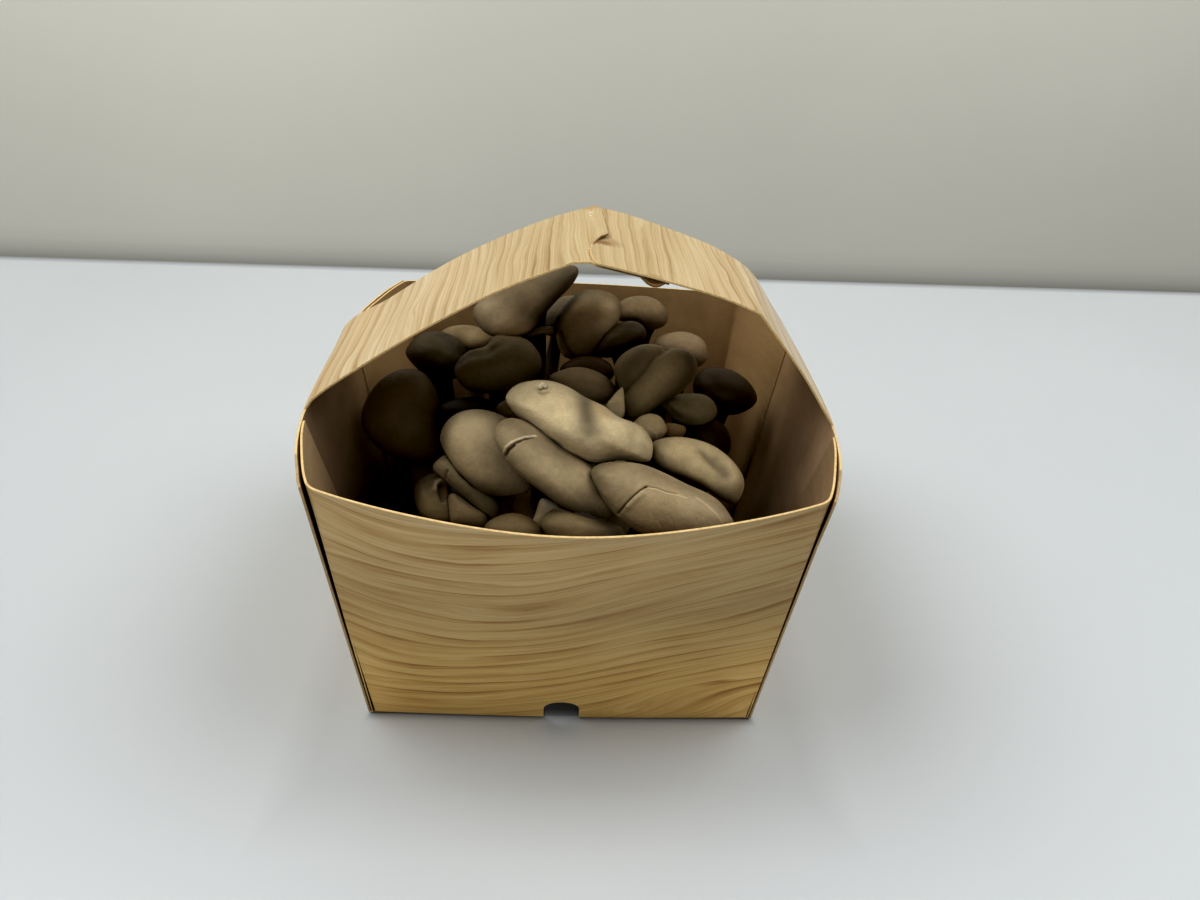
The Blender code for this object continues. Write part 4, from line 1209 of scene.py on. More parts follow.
def build_ends(materials):
    """Front panel, base and back panel in one strip, with the glue flaps at their ends."""
    reach = 1.0 - FOLD_RADIUS / RIM_HALF_WIDTH
    panel = [math.sin(0.5 * math.pi * share) * reach for share in steps(-1.0, 1.0, PANEL_COLUMNS)]
    columns = [("flap", -1, share) for share in steps(1.0, 0.0, FLAP_COLUMNS)[:-1]]
    columns += [("fold", -1, share) for share in steps(1.0, 0.0, FOLD_COLUMNS)[:-1]]
    columns += [("panel", 0, s) for s in panel]
    columns += [("fold", 1, share) for share in steps(0.0, 1.0, FOLD_COLUMNS)[1:]]
    columns += [("flap", 1, share) for share in steps(0.0, 1.0, FLAP_COLUMNS)[1:]]
    rows = [(-1, "wall", w) for w in steps(1.0, CREASE_SHARE, WALL_ROWS)]
    rows += [(-1, "crease", share) for share in steps(0.0, 1.0, CREASE_ROWS)[1:]]
    rows += [(0, "base", share) for share in steps(0.0, 1.0, BASE_ROWS)[1:-1]]
    rows += [(1, "crease", share) for share in steps(1.0, 0.0, CREASE_ROWS)[:-1]]
    rows += [(1, "wall", w) for w in steps(CREASE_SHARE, 1.0, WALL_ROWS)]

    def wall_point(end, kind, side, share, w):
        half_depth = lerp(BASE_HALF_DEPTH, RIM_HALF_DEPTH, w)
        radius = lerp(FOLD_RADIUS, RIM_FOLD_RADIUS, w ** 4)
        near = half_depth - radius
        level_reach = 1.0 - radius / RIM_HALF_WIDTH
        if kind == "panel":
            return end_point(end, share * level_reach / reach, w)
        if kind == "flap":
            far = lerp(*FLAP_EDGES[end], w)
            return flap_point(side, end, lerp(near, far, share), w)
        corner = end_point(end, side, w)
        inset = lerp(FOOT_INSET[side], FLAP_INSET, w ** 4)
        corner[0] = side * (side_x(1.0, w) - inset - draw_in(side, end, w))
        first = end_point(end, side * level_reach, w)
        return curve_corner(first, corner, flap_point(side, end, near, w), share)

    def place(row, column):
        end, part, v = row
        kind, side, share = column
        if part == "wall":
            point = wall_point(end, kind, side, share, v)
        else:
            s = share if kind == "panel" else side
            x = end_point(end, s, 0.0)[0]
            depth = BASE_HALF_DEPTH - CREASE_SHARE * RIM_HEIGHT
            if part == "crease":
                low = np.array((x, end * depth, 0.0))
                corner = np.array((x, end_point(end, s, 0.0)[1], 0.0))
                point = curve_corner(end_point(end, s, CREASE_SHARE), corner, low, v)
            else:
                point = np.array((x, lerp(-depth, depth, v), 0.0))
        slant = point[2] * END_GRAIN_RISE
        if end < 0:
            grain = front_grain(point[0], slant, point[2] / RIM_HEIGHT)
        elif end > 0:
            grain = back_grain(point[0], slant) + BACK_GRAIN_START
        else:
            grain = point[1] + BASE_GRAIN_START
        return point, (point[0] * GRAIN_UNIT, grain * GRAIN_UNIT)

    sheet = Sheet()
    placed = [[place(row, column) for column in columns] for row in rows]
    keys = [[(r, c) for c in range(len(columns))] for r in range(len(rows))]

    def keep(row, column):
        walls = rows[row][1] == "wall" and rows[row + 1][1] == "wall"
        panels = columns[column][0] == "panel" and columns[column + 1][0] == "panel"
        return walls or panels

    sheet.grid(keys, placed, keep=keep, flip=True)
    return finish_card("carton_ends_and_base", sheet, 0.0, -CARD, materials, notch_cutter(materials[2]))


def notch_cutter(material):
    """One cutter with a block at each end."""
    half = NOTCH_WIDTH / 2
    outline = [(NOTCH_X - half, NOTCH_LOW), (NOTCH_X + half, NOTCH_LOW)]
    for turn in np.linspace(0.0, math.pi, NOTCH_STEPS + 1):
        outline.append((NOTCH_X + half * math.cos(turn), NOTCH_STRAIGHT + NOTCH_ARC * math.sin(turn)))
    count = len(outline)
    points, faces = [], []
    for near, far in ((-NOTCH_OUTER, -NOTCH_INNER), (NOTCH_INNER, NOTCH_OUTER)):
        start = len(points)
        points += [(x, y, z) for y in (near, far) for x, z in outline]
        ring = list(range(start, start + count))
        faces += [[ring[i - 1], ring[i], ring[i] + count, ring[i - 1] + count] for i in range(count)]
        faces.append(ring[::-1])
        faces.append([index + count for index in ring])
    return make_object("notch_cutter", points, [face[::-1] for face in faces], [material])


def spline(profile, station, kinks):
    """A smooth curve through the profile, with its direction free to change at the kinks."""
    points = np.array(profile)
    index = min(int(station), len(points) - 2)
    share = station - index
    gaps = np.linalg.norm(np.diff(points, axis=0), axis=1)

    def tangent(at, forward):
        if at in kinks:
            pick = at if (forward and at < len(points) - 1) else at - 1
            pick = max(pick, 0)
            return (points[pick + 1] - points[pick]) / gaps[pick]
        before = (points[at] - points[at - 1]) / gaps[at - 1]
        after = (points[at + 1] - points[at]) / gaps[at]
        mixed = (before * gaps[at] + after * gaps[at - 1]) / (gaps[at] + gaps[at - 1])
        return mixed

    gap = gaps[index]
    first, second = points[index], points[index + 1]
    out, into = tangent(index, True) * gap, tangent(index + 1, False) * gap
    square, cube = share ** 2, share ** 3
    return ((2 * cube - 3 * square + 1) * first + (cube - 2 * square + share) * out
            + (3 * square - 2 * cube) * second + (cube - square) * into)


def arch_point(across, station):
    front = spline(HANDLE_FRONT, station, KINKS)
    back = spline(HANDLE_BACK, station, (0, APEX, LAST_STATION))
    x, z = lerp(front, back, across)
    return np.array((x, lerp(HANDLE_FRONT_Y, HANDLE_BACK_Y, across), z))


def station_at(across, x):
    low, high = 0.0, float(LAST_STATION)
    for _ in range(HALVINGS):
        middle = (low + high) / 2
        if arch_point(across, middle)[0] < x:
            low = middle
        else:
            high = middle
    return low


def across_at(y):
    return (y - HANDLE_FRONT_Y) / (HANDLE_BACK_Y - HANDLE_FRONT_Y)


# The lock: where each arm ends, as (y, x), for the finger that lies on top.
LEFT_OVER_END = [(-21.5, 4.3), (-19.5, 4.8), (-16.6, 5.9), (-14.5, 6.8), (-12.5, 7.7), (-10.6, 9.0),
                 (-9.6, 10.1), (-8.5, 10.4), (1.5, 10.2), (14.0, 9.4), (22.0, 8.6), (24.5, 7.6)]
RIGHT_OVER_END = [(-38.7, 6.4), (-38.2, 5.6), (-37.0, 4.7), (-35.5, 4.3), (-32.0, 3.9), (-29.0, 3.8),
                  (-25.0, 4.0), (-21.5, 4.3)]
SLIT_Y = -21.5
CROSSING_X = 3.2
CROSSING_LENGTH = 3.4
LEFT_UNDER_X = 29.5
RIGHT_UNDER_X = -16.0
UNDER_RECESS = 0.8
HOOK_LIFT = 0.9
TONGUE_X = 24.2
TONGUE_HALF = 3.5
TONGUE_DROP = 1.6
TONGUE_SWING = 0.8
TONGUE_ROUND = 0.6
TONGUE_DEPTH = 0.10
HOOK_PLACE = (9.5, -9.5)
HOOK_REACH = (4.5, 6.0)
SINK_WIDTHS = {-1: (12.0, 0.5), 1: (1.0, 9.0)}
SINK_FROM_X = 4.4
SINK_OVER = 6.0
COVER_AHEAD = 2.8
COVER_OVER = 3.0
RIM_BLEND = 0.9


def end_x(table, y):
    return float(np.interp(y, [row[0] for row in table], [row[1] for row in table]))


def lock_sink(side, x, y):
    """How far an arm is lowered to pass under the other one; below zero, it lies on top of it."""
    crossed = float(smooth((x - CROSSING_X) / CROSSING_LENGTH))
    if side < 0:
        turn = (SLIT_Y - y) / lerp(*SINK_WIDTHS[side], crossed) + 0.5
        return LAYER_DROP * crossed * float(smooth(turn))
    covered = float(smooth((end_x(LEFT_OVER_END, y) + COVER_AHEAD - x) / COVER_OVER))
    width = lerp(*SINK_WIDTHS[side], min(1.0, max(0.0, (x - SINK_FROM_X) / SINK_OVER)))
    sink = LAYER_DROP * covered * float(smooth((y - SLIT_Y + 1.0) / width))
    return sink - LAYER_DROP * (1.0 - crossed) * float(smooth(SLIT_Y - y))


def build_side(side, materials):
    """A side wall and the handle arm that continues it, in one sheet."""
    slit = across_at(SLIT_Y)
    arm = [slit * share for share in steps(0.0, 1.0, ARM_COLUMNS[0])[:-1]] + [slit - SLIT_EDGE]
    cut = len(arm)
    arm += [slit, slit + SLIT_EDGE]
    arm += [lerp(slit, 1.0, share) for share in steps(0.0, 1.0, ARM_COLUMNS[1])[1:]]
    arm_y = [lerp(HANDLE_FRONT_Y, HANDLE_BACK_Y, across) for across in arm]
    before = steps(0.0, 1.0, WALL_END_COLUMNS[0])[:-1]
    beyond = steps(0.0, 1.0, WALL_END_COLUMNS[1])[1:]
    front = [lerp(-1.0, HANDLE_FRONT_Y / RIM_HALF_DEPTH, share) for share in before]
    back = [lerp(HANDLE_BACK_Y / RIM_HALF_DEPTH, 1.0, share) for share in beyond]
    columns = front + [y / RIM_HALF_DEPTH for y in arm_y] + back
    first = len(front)
    rows = [("crease", share) for share in steps(1.0, 0.0, SIDE_CREASE_ROWS)[:-1]]
    rows += [("wall", w) for w in steps(*WALL_SHARES, WALL_ROWS)] + [("wall", 1.0)]

    def flare(t, w):
        """The front end of each wall stands a little away from the box."""
        if side < 0:
            size = lerp(*LEFT_WALL_FLARE, w)
        else:
            size = RIGHT_WALL_FLARE * float(smooth((w - RIGHT_FLARE_FROM) / 0.2))
        return size * float(smooth((-t - WALL_FLARE_FROM) / (1.0 - WALL_FLARE_FROM)))

    def wall(row, t):
        part, v = row
        w = v if part == "wall" else WALL_SHARES[0]
        y = t * lerp(BASE_HALF_DEPTH, RIM_HALF_DEPTH, w)
        x = side_x(t, w) + flare(t, w) - draw_in(side, t, w) - CARD / 2
        point = np.array((side * x, y, RIM_HEIGHT * w))
        if part == "crease":
            corner = np.array((side * (SIDE_BASE_HALF + flare(t, w) - CARD / 2), y, CARD / 2))
            low = np.array((side * (BASE_HALF_WIDTH + CREASE_OUT), y, CARD / 2))
            point = curve_corner(point, corner, low, v)
        grain = point[2] * SIDE_GRAIN_RISE + side * SIDE_GRAIN_START
        return point, (point[1] * GRAIN_UNIT, grain * GRAIN_UNIT)

    sheet = Sheet()
    placed = [[wall(row, t) for t in columns] for row in rows]
    last = len(rows) - 1
    keys = [[("wall", r, c) for c in range(len(columns))] for r in range(len(rows))]
    sheet.grid(keys, placed, flip=side < 0)

    rim_station = 0.0 if side < 0 else float(LAST_STATION)
    rim = {c: placed[last][first + c][0] for c in range(len(arm))}

    def arm_spot(column, station, finger):
        across = arm[column]
        if station == rim_station:
            return rim[column]
        point = arch_point(across, station)
        blend = float(smooth(abs(station - rim_station) / RIM_BLEND))
        point = point + (1.0 - blend) * (rim[column] - arch_point(across, rim_station))
        x = point[0]
        sink = lock_sink(side, x, arm_y[column])
        if finger == "under" and column != cut and side > 0:
            sink = LAYER_DROP
        if finger == "over" and column != cut:
            sink = 0.0
        if finger == "under" and column == cut:
            sink = lerp(sink, LAYER_DROP, float(smooth(abs(station - APEX) * 8.0)))
        point[2] -= sink
        if side < 0 and finger == "under":
            hang = math.cos(0.5 * math.pi * min(1.0, abs(x - TONGUE_X) / TONGUE_HALF)) ** TONGUE_ROUND
            near = float(smooth(1.0 - across / TONGUE_DEPTH))
            point[2] -= TONGUE_DROP * hang * near
            point[1] -= TONGUE_SWING * hang * near
            recess = UNDER_RECESS * (1.0 - 0.95 * hang) * float(smooth((x - CROSSING_X) / 4.0))
            point[1] += recess * (1.0 - across / slit)
        if side < 0 and finger == "over":
            along = (x - HOOK_PLACE[0]) / HOOK_REACH[0]
            aside = (arm_y[column] - HOOK_PLACE[1]) / HOOK_REACH[1]
            lift = math.exp(-along ** 2 - aside ** 2)
            point[2] += HOOK_LIFT * lift
        return point

    sampled = steps(0.0, float(LAST_STATION), LENGTH_SAMPLES)
    lengths = []
    for across in arm:
        line = np.array([arch_point(across, station) for station in sampled])
        total = np.concatenate([[0.0], np.cumsum(np.linalg.norm(np.diff(line, axis=0), axis=1))])
        lengths.append(total if side < 0 else total[-1] - total)

    def arm_grain(column, station):
        length = np.interp(station, sampled, lengths[column])
        closer = ARM_GRAIN_GAIN * smooth((length - ARM_GAIN_FROM) / ARM_GAIN_FROM)
        grain = RIM_HEIGHT * SIDE_GRAIN_RISE + length + closer + side * SIDE_GRAIN_START
        wide = lerp(1.0, ARM_GRAIN_STRETCH, smooth(length / ARM_STRETCH_LENGTH))
        return arm_y[column] * wide * GRAIN_UNIT, grain * GRAIN_UNIT

    def arm_grid(picked, stations, finger, first_names, tag):
        """stations[column][row]; the first row is shared with what lies before it."""
        grid, names = [], []
        for row in range(len(stations[0])):
            grid.append([(arm_spot(c, stations[i][row], finger), arm_grain(c, stations[i][row]))
                         for i, c in enumerate(picked)])
            names.append([(tag, row, c) for c in picked])
        names[0] = first_names
        if finger == "over":
            slit_place = picked.index(cut)
            for line in names:
                line[slit_place] = first_names[slit_place]
        sheet.grid(names, grid, flip=side < 0)

    whole = list(range(len(arm)))
    over_table = LEFT_OVER_END if side < 0 else RIGHT_OVER_END
    under_x = LEFT_UNDER_X if side < 0 else RIGHT_UNDER_X
    ends = [float(APEX)] * len(arm)
    if side > 0:
        ends = [station_at(arm[c], end_x(over_table, arm_y[c])) if c < cut else APEX for c in whole]
    body = [[lerp(rim_station, ends[c], share) for share in steps(0.0, 1.0, ARM_ROWS)] for c in whole]
    arm_grid(whole, body, "body", [("wall", last, first + c) for c in whole], "arm")
    left_part, right_part = whole[:cut + 1], whole[cut:]
    under_part = left_part if side < 0 else right_part
    reach = [[lerp(float(APEX), station_at(arm[c], under_x), share)
              for share in steps(0.0, 1.0, UNDER_ROWS)] for c in under_part]
    arm_grid(under_part, reach, "under", [("arm", ARM_ROWS, c) for c in under_part], "under")
    if side < 0:
        hook = [[lerp(float(APEX), max(APEX, station_at(arm[c], end_x(over_table, arm_y[c]))), share)
                 for share in steps(0.0, 1.0, HOOK_ROWS)] for c in right_part]
        arm_grid(right_part, hook, "over", [("arm", ARM_ROWS, c) for c in right_part], "over")
    name = "carton_left_wall_and_arm" if side < 0 else "carton_right_wall_and_arm"
    return finish_card(name, sheet, CARD / 2, -CARD / 2, materials)


# Mushrooms.

def turn_matrix(heading, rise, tilt):
    spin = Matrix.Rotation(math.radians(heading), 3, "Z")
    lift = Matrix.Rotation(-math.radians(rise), 3, "Y")
    roll = Matrix.Rotation(math.radians(tilt), 3, "X")
    return np.array(spin @ lift @ roll)


SKIN_GAP = 0.12
UNDER_PROFILE = np.array([
    (1.0, 0.0), (0.99, -0.16), (0.95, -0.31), (0.885, -0.40), (0.81, -0.39), (0.74, -0.32),
    (0.66, -0.24), (0.52, -0.16), (0.36, -0.12), (0.2, -0.13), (0.05, -0.14),
])
TOP_SHARE = 0.6
GILLS = 30
GILL_DEPTH = 0.9
CAP_SEGMENTS = 120
TOP_RINGS = 24
UNDER_RINGS = 20
TOP_POWERS = (0.85, 1.1)
ROUGHEN = 0.035
CURVE_STEPS = 8
# How many times as finely the caps nearest the camera are divided.
DETAIL = {"cap_long_top": 2, "cap_long_slit": 3, "cap_cracked": 3, "cap_right_bruised": 2}
BEND_SIZE = 4.0
BEND_MIDDLE = 0.4


def wobble(points, seed, size):
    """A smooth pseudo-random value for each point, about -1 to 1, with waves of that size."""
    rng = np.random.default_rng(seed)
    total = np.zeros(len(points))
    for _ in range(7):
        direction = rng.normal(size=3)
        direction *= 2 * math.pi / size / np.linalg.norm(direction) * rng.uniform(0.6, 1.5)
        total += np.sin(points @ direction + rng.uniform(0, 2 * math.pi))
    return total / 3.5


class Cap:
    """A cap as a grid of rings, from the top of the dome round the rim to the stem."""

    def __init__(self, name, centre, length, width, thickness, turn, bend=0.0):
        self.name = name
        self.length = length
        self.width = width
        self.thickness = thickness
        self.centre = np.array(centre, float)
        self.turn = turn
        detail = DETAIL.get(name, 1)
        segments = CAP_SEGMENTS * detail
        rings = TOP_RINGS * detail
        turns = 2 * math.pi * np.arange(segments) / segments
        latitudes = 0.5 * math.pi * (1.0 - np.arange(1, rings + 1) / rings)
        radii = np.cos(latitudes) ** TOP_POWERS[0]
        heights = TOP_SHARE * np.sin(latitudes) ** TOP_POWERS[1]
        steps_under = np.linspace(0, len(UNDER_PROFILE) - 1, UNDER_RINGS * detail + 1)[1:]
        index = np.arange(len(UNDER_PROFILE))
        under_radii = np.interp(steps_under, index, UNDER_PROFILE[:, 0])
        under_heights = np.interp(steps_under, index, UNDER_PROFILE[:, 1])
        radii = np.concatenate([radii, under_radii])
        heights = np.concatenate([heights, under_heights])
        under = np.concatenate([np.zeros(rings), steps_under / steps_under[-1]])
        self.rings = len(radii)
        self.segments = segments
        along = radii[:, None] * np.cos(turns)[None, :]
        aside = radii[:, None] * np.sin(turns)[None, :]
        aside = aside + BEND_SIZE * bend * (BEND_MIDDLE - along * along)
        z = np.repeat(heights[:, None], segments, axis=1) * thickness
        window = smooth((under - 0.42) / 0.1) * (under > 0) * smooth((1.0 - under) / 0.2)
        z += window[:, None] * GILL_DEPTH * (0.5 - 0.5 * np.cos(GILLS * turns))[None, :]
        local = np.stack([along * length / 2, aside * width / 2, z], axis=-1).reshape(-1, 3)
        middle = BEND_SIZE * bend * BEND_MIDDLE * width / 2
        local = np.vstack([[(0.0, middle, TOP_SHARE * thickness)], local,
                           [(0.0, middle, UNDER_PROFILE[-1, 1] * thickness)]])
        self.faces = self.make_faces()
        normals = self.normals(local)
        seed = name_seed(name)
        local += normals * (wobble(local, seed, length * 0.75) * ROUGHEN * width * 0.5)[:, None]
        self.radial = np.zeros((len(local), 3))
        self.radial[1:-1, 0] = np.tile(np.cos(turns), self.rings)
        self.radial[1:-1, 1] = np.tile(np.sin(turns), self.rings)
        self.radial[1:-1, 2] = np.repeat(np.arange(self.rings) / self.rings, segments)
        self.under = np.concatenate([[0.0], np.repeat(under, segments), [1.0]])
        self.edge = np.concatenate([[0.0], np.repeat(radii, segments), [0.0]])
        self.points = local @ self.turn.T + self.centre
        self.marks = []

    def make_faces(self):
        tip = 1 + self.rings * self.segments
        return (fan(0, 1, self.segments)
                + ring_faces(self.rings, self.segments, start=1, downward=True)
                + fan(tip, tip - self.segments, self.segments, downward=True))

    def normals(self, points):
        """Outward normals from the grid's own neighbours."""
        grid = points[1:-1].reshape(self.rings, self.segments, 3)
        around = np.roll(grid, -1, axis=1) - np.roll(grid, 1, axis=1)
        down = np.empty_like(grid)
        down[1:-1] = grid[2:] - grid[:-2]
        down[0] = grid[1] - grid[0]
        down[-1] = grid[-1] - grid[-2]
        cross = unit(np.cross(down, around).reshape(-1, 3), 1e-9)
        return np.vstack([[(0, 0, 1)], cross, [(0, 0, -1)]])

    def fit_outline(self, outline):
        """Moves the points across the line of sight, so that the cap's edge follows an outline."""
        target = closed_curve(outline)
        middle = target.mean(axis=0)
        pixels, depth = project(self.points)
        pixels += middle - 0.5 * (pixels.min(axis=0) + pixels.max(axis=0))
        angles = np.radians(np.arange(-180, 181, 3))
        wanted = polar_radius(target, middle, angles)
        current = polar_radius(hull(pixels), middle, angles)
        offset = pixels - middle
        radius = np.linalg.norm(offset, axis=1)
        angle = np.arctan2(offset[:, 1], offset[:, 0])
        factor = np.interp(angle, angles, wanted / current)
        edge = np.interp(angle, angles, current)
        even = (wanted / current).mean()
        factor = lerp(even, factor, smooth(radius / (0.85 * edge)))
        self.points = unproject(middle + offset * factor[:, None], depth)

    def tree(self):
        return BVHTree.FromPolygons([tuple(point) for point in self.points], self.faces)

    def mark(self, marks):
        """Grooves and swellings along paths that are given in the photograph's pixels."""
        tree = self.tree() if marks else None
        for path, width, height, colour, share, colour_width in marks:
            line = []
            for first, second in zip(path[:-1], path[1:]):
                count = max(2, int(math.dist(first, second)))
                line += [lerp(np.array(first, float), np.array(second, float), k / count)
                         for k in range(count + 1)]
            hits = [tree.ray_cast(*pixel_ray(pixel))[0] for pixel in line]
            hits = np.array([tuple(hit) for hit in hits if hit is not None])
            if not len(hits):
                continue
            near = np.linalg.norm(self.points - hits.mean(axis=0), axis=1)
            reach = np.linalg.norm(hits - hits.mean(axis=0), axis=1).max()
            picked = np.nonzero(near < reach + 3.0 * max(width, colour_width))[0]
            gaps = self.points[picked][:, None, :] - hits[None, :, :]
            distance = np.full(len(self.points), 1e6)
            distance[picked] = np.linalg.norm(gaps, axis=2).min(axis=1)
            normals = self.normals(self.points)
            self.points = self.points + normals * (height * np.exp(-(distance / width) ** 2))[:, None]
            self.marks.append((colour, share * np.exp(-(distance / colour_width) ** 2)))


def closed_curve(outline):
    """A smooth closed curve through the points."""
    points = np.array(outline, float)
    before, after, later = (np.roll(points, shift, axis=0) for shift in (1, -1, -2))
    rows = []
    for share in np.arange(CURVE_STEPS) / CURVE_STEPS:
        rows.append(0.5 * (2 * points + (after - before) * share
                           + (2 * before - 5 * points + 4 * after - later) * share ** 2
                           + (3 * points - before - 3 * after + later) * share ** 3))
    return np.stack(rows, axis=1).reshape(-1, 2)


def hull(points):
    """Convex hull of points in a plane."""
    ordered = points[np.lexsort((points[:, 1], points[:, 0]))]

    def chain(rows):
        kept = []
        for row in rows:
            while len(kept) > 1:
                (ax, ay), (bx, by) = kept[-2], kept[-1]
                if (bx - ax) * (row[1] - ay) - (by - ay) * (row[0] - ax) > 0:
                    break
                kept.pop()
            kept.append(tuple(row))
        return kept[:-1]

    return np.array(chain(ordered) + chain(ordered[::-1]))


def polar_radius(polygon, middle, angles):
    """Distance from the middle to a polygon's edge, in each direction."""
    start = polygon - middle
    step = np.roll(start, -1, axis=0) - start
    ray = np.stack([np.cos(angles), np.sin(angles)], axis=1)[:, None, :]
    cross = ray[..., 0] * step[:, 1] - ray[..., 1] * step[:, 0]
    cross = np.where(np.abs(cross) < 1e-9, 1e-9, cross)
    reach = (start[:, 0] * step[:, 1] - start[:, 1] * step[:, 0]) / cross
    share = (start[:, 0] * ray[..., 1] - start[:, 1] * ray[..., 0]) / cross
    valid = (share >= -1e-6) & (share <= 1 + 1e-6) & (reach > 0)
    return np.where(valid, reach, 0.0).max(axis=1)


def project(points):
    """Pixels of the photograph, and depths, of points in millimetres."""
    offset = points - np.array(CAMERA_PLACE)
    depth = offset @ np.array(CAMERA_FORWARD)
    x = IMAGE_WIDTH / 2 + FOCAL_PIXELS * (offset @ np.array(CAMERA_RIGHT)) / depth
    y = IMAGE_HEIGHT / 2 + FOCAL_PIXELS * (offset @ np.array(CAMERA_DOWN)) / depth
    return np.stack([x, y], axis=1), depth


def unproject(pixels, depth):
    x = (pixels[:, 0] - IMAGE_WIDTH / 2) / FOCAL_PIXELS
    y = (pixels[:, 1] - IMAGE_HEIGHT / 2) / FOCAL_PIXELS
    ray = (x[:, None] * np.array(CAMERA_RIGHT) + y[:, None] * np.array(CAMERA_DOWN)
           + np.array(CAMERA_FORWARD))
    return np.array(CAMERA_PLACE) + ray * depth[:, None]


def pixel_ray(pixel):
    """The camera's ray through a pixel of the photograph, in millimetres."""
    target = unproject(np.array([pixel], float), np.array([1.0]))[0]
    return Vector(CAMERA_PLACE), Vector(target - np.array(CAMERA_PLACE)).normalized()


def push_out(points, cap, tree, gap):
    """Moves points that lie inside another cap to just outside its skin."""
    local = (points - cap.middle) @ cap.turn
    near = ((local > cap.low - gap) & (local < cap.high + gap)).all(axis=1)
    for index in np.nonzero(near)[0]:
        spot, normal, _, distance = tree.find_nearest(Vector(points[index]), cap.length)
        if spot is None:
            continue
        inside = (Vector(points[index]) - spot).dot(normal) < 0.0
        if inside or distance < gap:
            points[index] = np.array(spot + normal * gap)


SMALL_CAP_LIFT = 0.7


def shape_cap(cap, cluster, skin, outline):
    cap.cluster = cluster
    cap.base = skin
    cap.fit_outline(outline)
    cap.mark(MARKS.get(cap.name, ()))
    return cap


def small_cap(row):
    """A cap that faces the camera, from its place and size in the photograph."""
    name, pixel, depth, length, width, thickness, slope, skin, cluster, outline = row
    scale = depth / FOCAL_PIXELS
    forward, right, down = (np.array(axis) for axis in (CAMERA_FORWARD, CAMERA_RIGHT, CAMERA_DOWN))
    up = unit(-forward + np.array((0.0, 0.0, SMALL_CAP_LIFT)))
    along = math.cos(math.radians(slope)) * right + math.sin(math.radians(slope)) * down
    along = unit(along - up * (along @ up))
    turn = np.stack([along, np.cross(up, along), up], axis=1)
    centre = unproject(np.array([pixel], float), np.array([depth]))[0]
    cap = Cap(name, centre, length * scale, width * scale, thickness * scale, turn)
    return shape_cap(cap, cluster, skin, outline)


def build_caps():
    caps = []
    for row in CAPS:
        name, centre, length, width, thickness, heading, rise, tilt, bend, cluster = row
        cap = Cap(name, centre, length, width, thickness, turn_matrix(heading, rise, tilt), bend)
        skin = SKINS.get(name, PALE_SKIN if cluster == "front" else DARK_SKIN)
        caps.append(shape_cap(cap, cluster, skin, OUTLINES[name]))
    caps += [small_cap(row) for row in SMALL_CAPS]
    trees = []
    for cap in caps:
        cap.middle = cap.points.mean(axis=0)
        cap.reach = np.linalg.norm(cap.points - cap.middle, axis=1).max()
        local = (cap.points - cap.middle) @ cap.turn
        cap.low, cap.high = local.min(axis=0), local.max(axis=0)
        for firm, tree in trees:
            if np.linalg.norm(firm.middle - cap.middle) < firm.reach + cap.reach:
                push_out(cap.points, firm, tree, SKIN_GAP)
        trees.append((cap, cap.tree()))
    for cap, _ in trees:
        cap.open = openness(cap, trees)
    return trees


# Painted shade where other caps cover the space above a cap: how far the rays reach, how dark it gets for
# pale caps and for dark or small ones, and how steeply.
OPEN_REACH = 20.0
OPEN_SHADE_FLOOR = 0.10
DIM_SHADE_FLOOR = 0.6
OPEN_SHADE_POWER = 1.6
OPEN_SHADE_POWERS = {"cap_long_slit": 0.5, "cap_left_round": 1.0, "cap_curled": 0.8, "small_cap_fold": 0.5,
               "cap_right_low": 0.4}
OPEN_RAYS = 14
OPEN_COLUMNS = 30
OPEN_ROWS = 22
RAY_LIFT = 0.4
RAY_LEAN = 0.16
GOLDEN_TURN = 2.399963
# A skin whose channels add up to more than this is a pale one.
PALE_SUM = 0.6


def openness(cap, trees):
    """How much of the space above each point is free of other caps, 0 to 1."""
    stride = cap.segments // OPEN_COLUMNS
    ring_stride = max(1, cap.rings // OPEN_ROWS)
    rings = list(range(0, cap.rings, ring_stride))
    grid = cap.points[1:-1].reshape(cap.rings, cap.segments, 3)[rings][:, ::stride]
    normals = cap.normals(cap.points)[1:-1].reshape(cap.rings, cap.segments, 3)[rings][:, ::stride]
    starts = (grid + normals * RAY_LIFT).reshape(-1, 3)
    rays = []
    for index in range(OPEN_RAYS):
        turn = index * GOLDEN_TURN
        slope = math.sqrt((index + 0.5) / OPEN_RAYS)
        rays.append(Vector((0.85 * slope * math.cos(turn), 0.85 * slope * math.sin(turn) + RAY_LEAN,
                            math.sqrt(1.0 - 0.72 * slope * slope))).normalized())
    blocked = np.zeros((len(starts), OPEN_RAYS), bool)
    for other, tree in trees:
        reach = other.reach + cap.reach + OPEN_REACH
        if other is cap or np.linalg.norm(other.middle - cap.middle) > reach:
            continue
        if other.points[:, 2].max() < starts[:, 2].min():
            continue
        for row, start in enumerate(starts):
            origin = Vector(start)
            for column, ray in enumerate(rays):
                if not blocked[row, column] and tree.ray_cast(origin, ray, OPEN_REACH)[0] is not None:
                    blocked[row, column] = True
    coarse = 1.0 - blocked.mean(axis=1).reshape(len(rings), -1)
    coarse = np.hstack([coarse, coarse[:, :1]])
    around = np.arange(cap.segments) / stride
    wide = np.array([np.interp(around, np.arange(coarse.shape[1]), line) for line in coarse])
    full = np.array([np.interp(np.arange(cap.rings), rings, wide[:, c]) for c in range(cap.segments)]).T
    return np.concatenate([[full[0].mean()], full.ravel(), [full[-1].mean()]])


# Blotches on the caps, as size in mm and strength, and the wider patches that are warmer or cooler.
BLOTCHES = ((11.0, 0.07), (4.0, 0.035))
WARM_SIZE = 16.0
WARM_SHIFT = (0.006, 0.0, -0.008)
# Painted shade towards the dome's rim.
RIM_SHADE = 0.16
RIM_FROM = 0.7
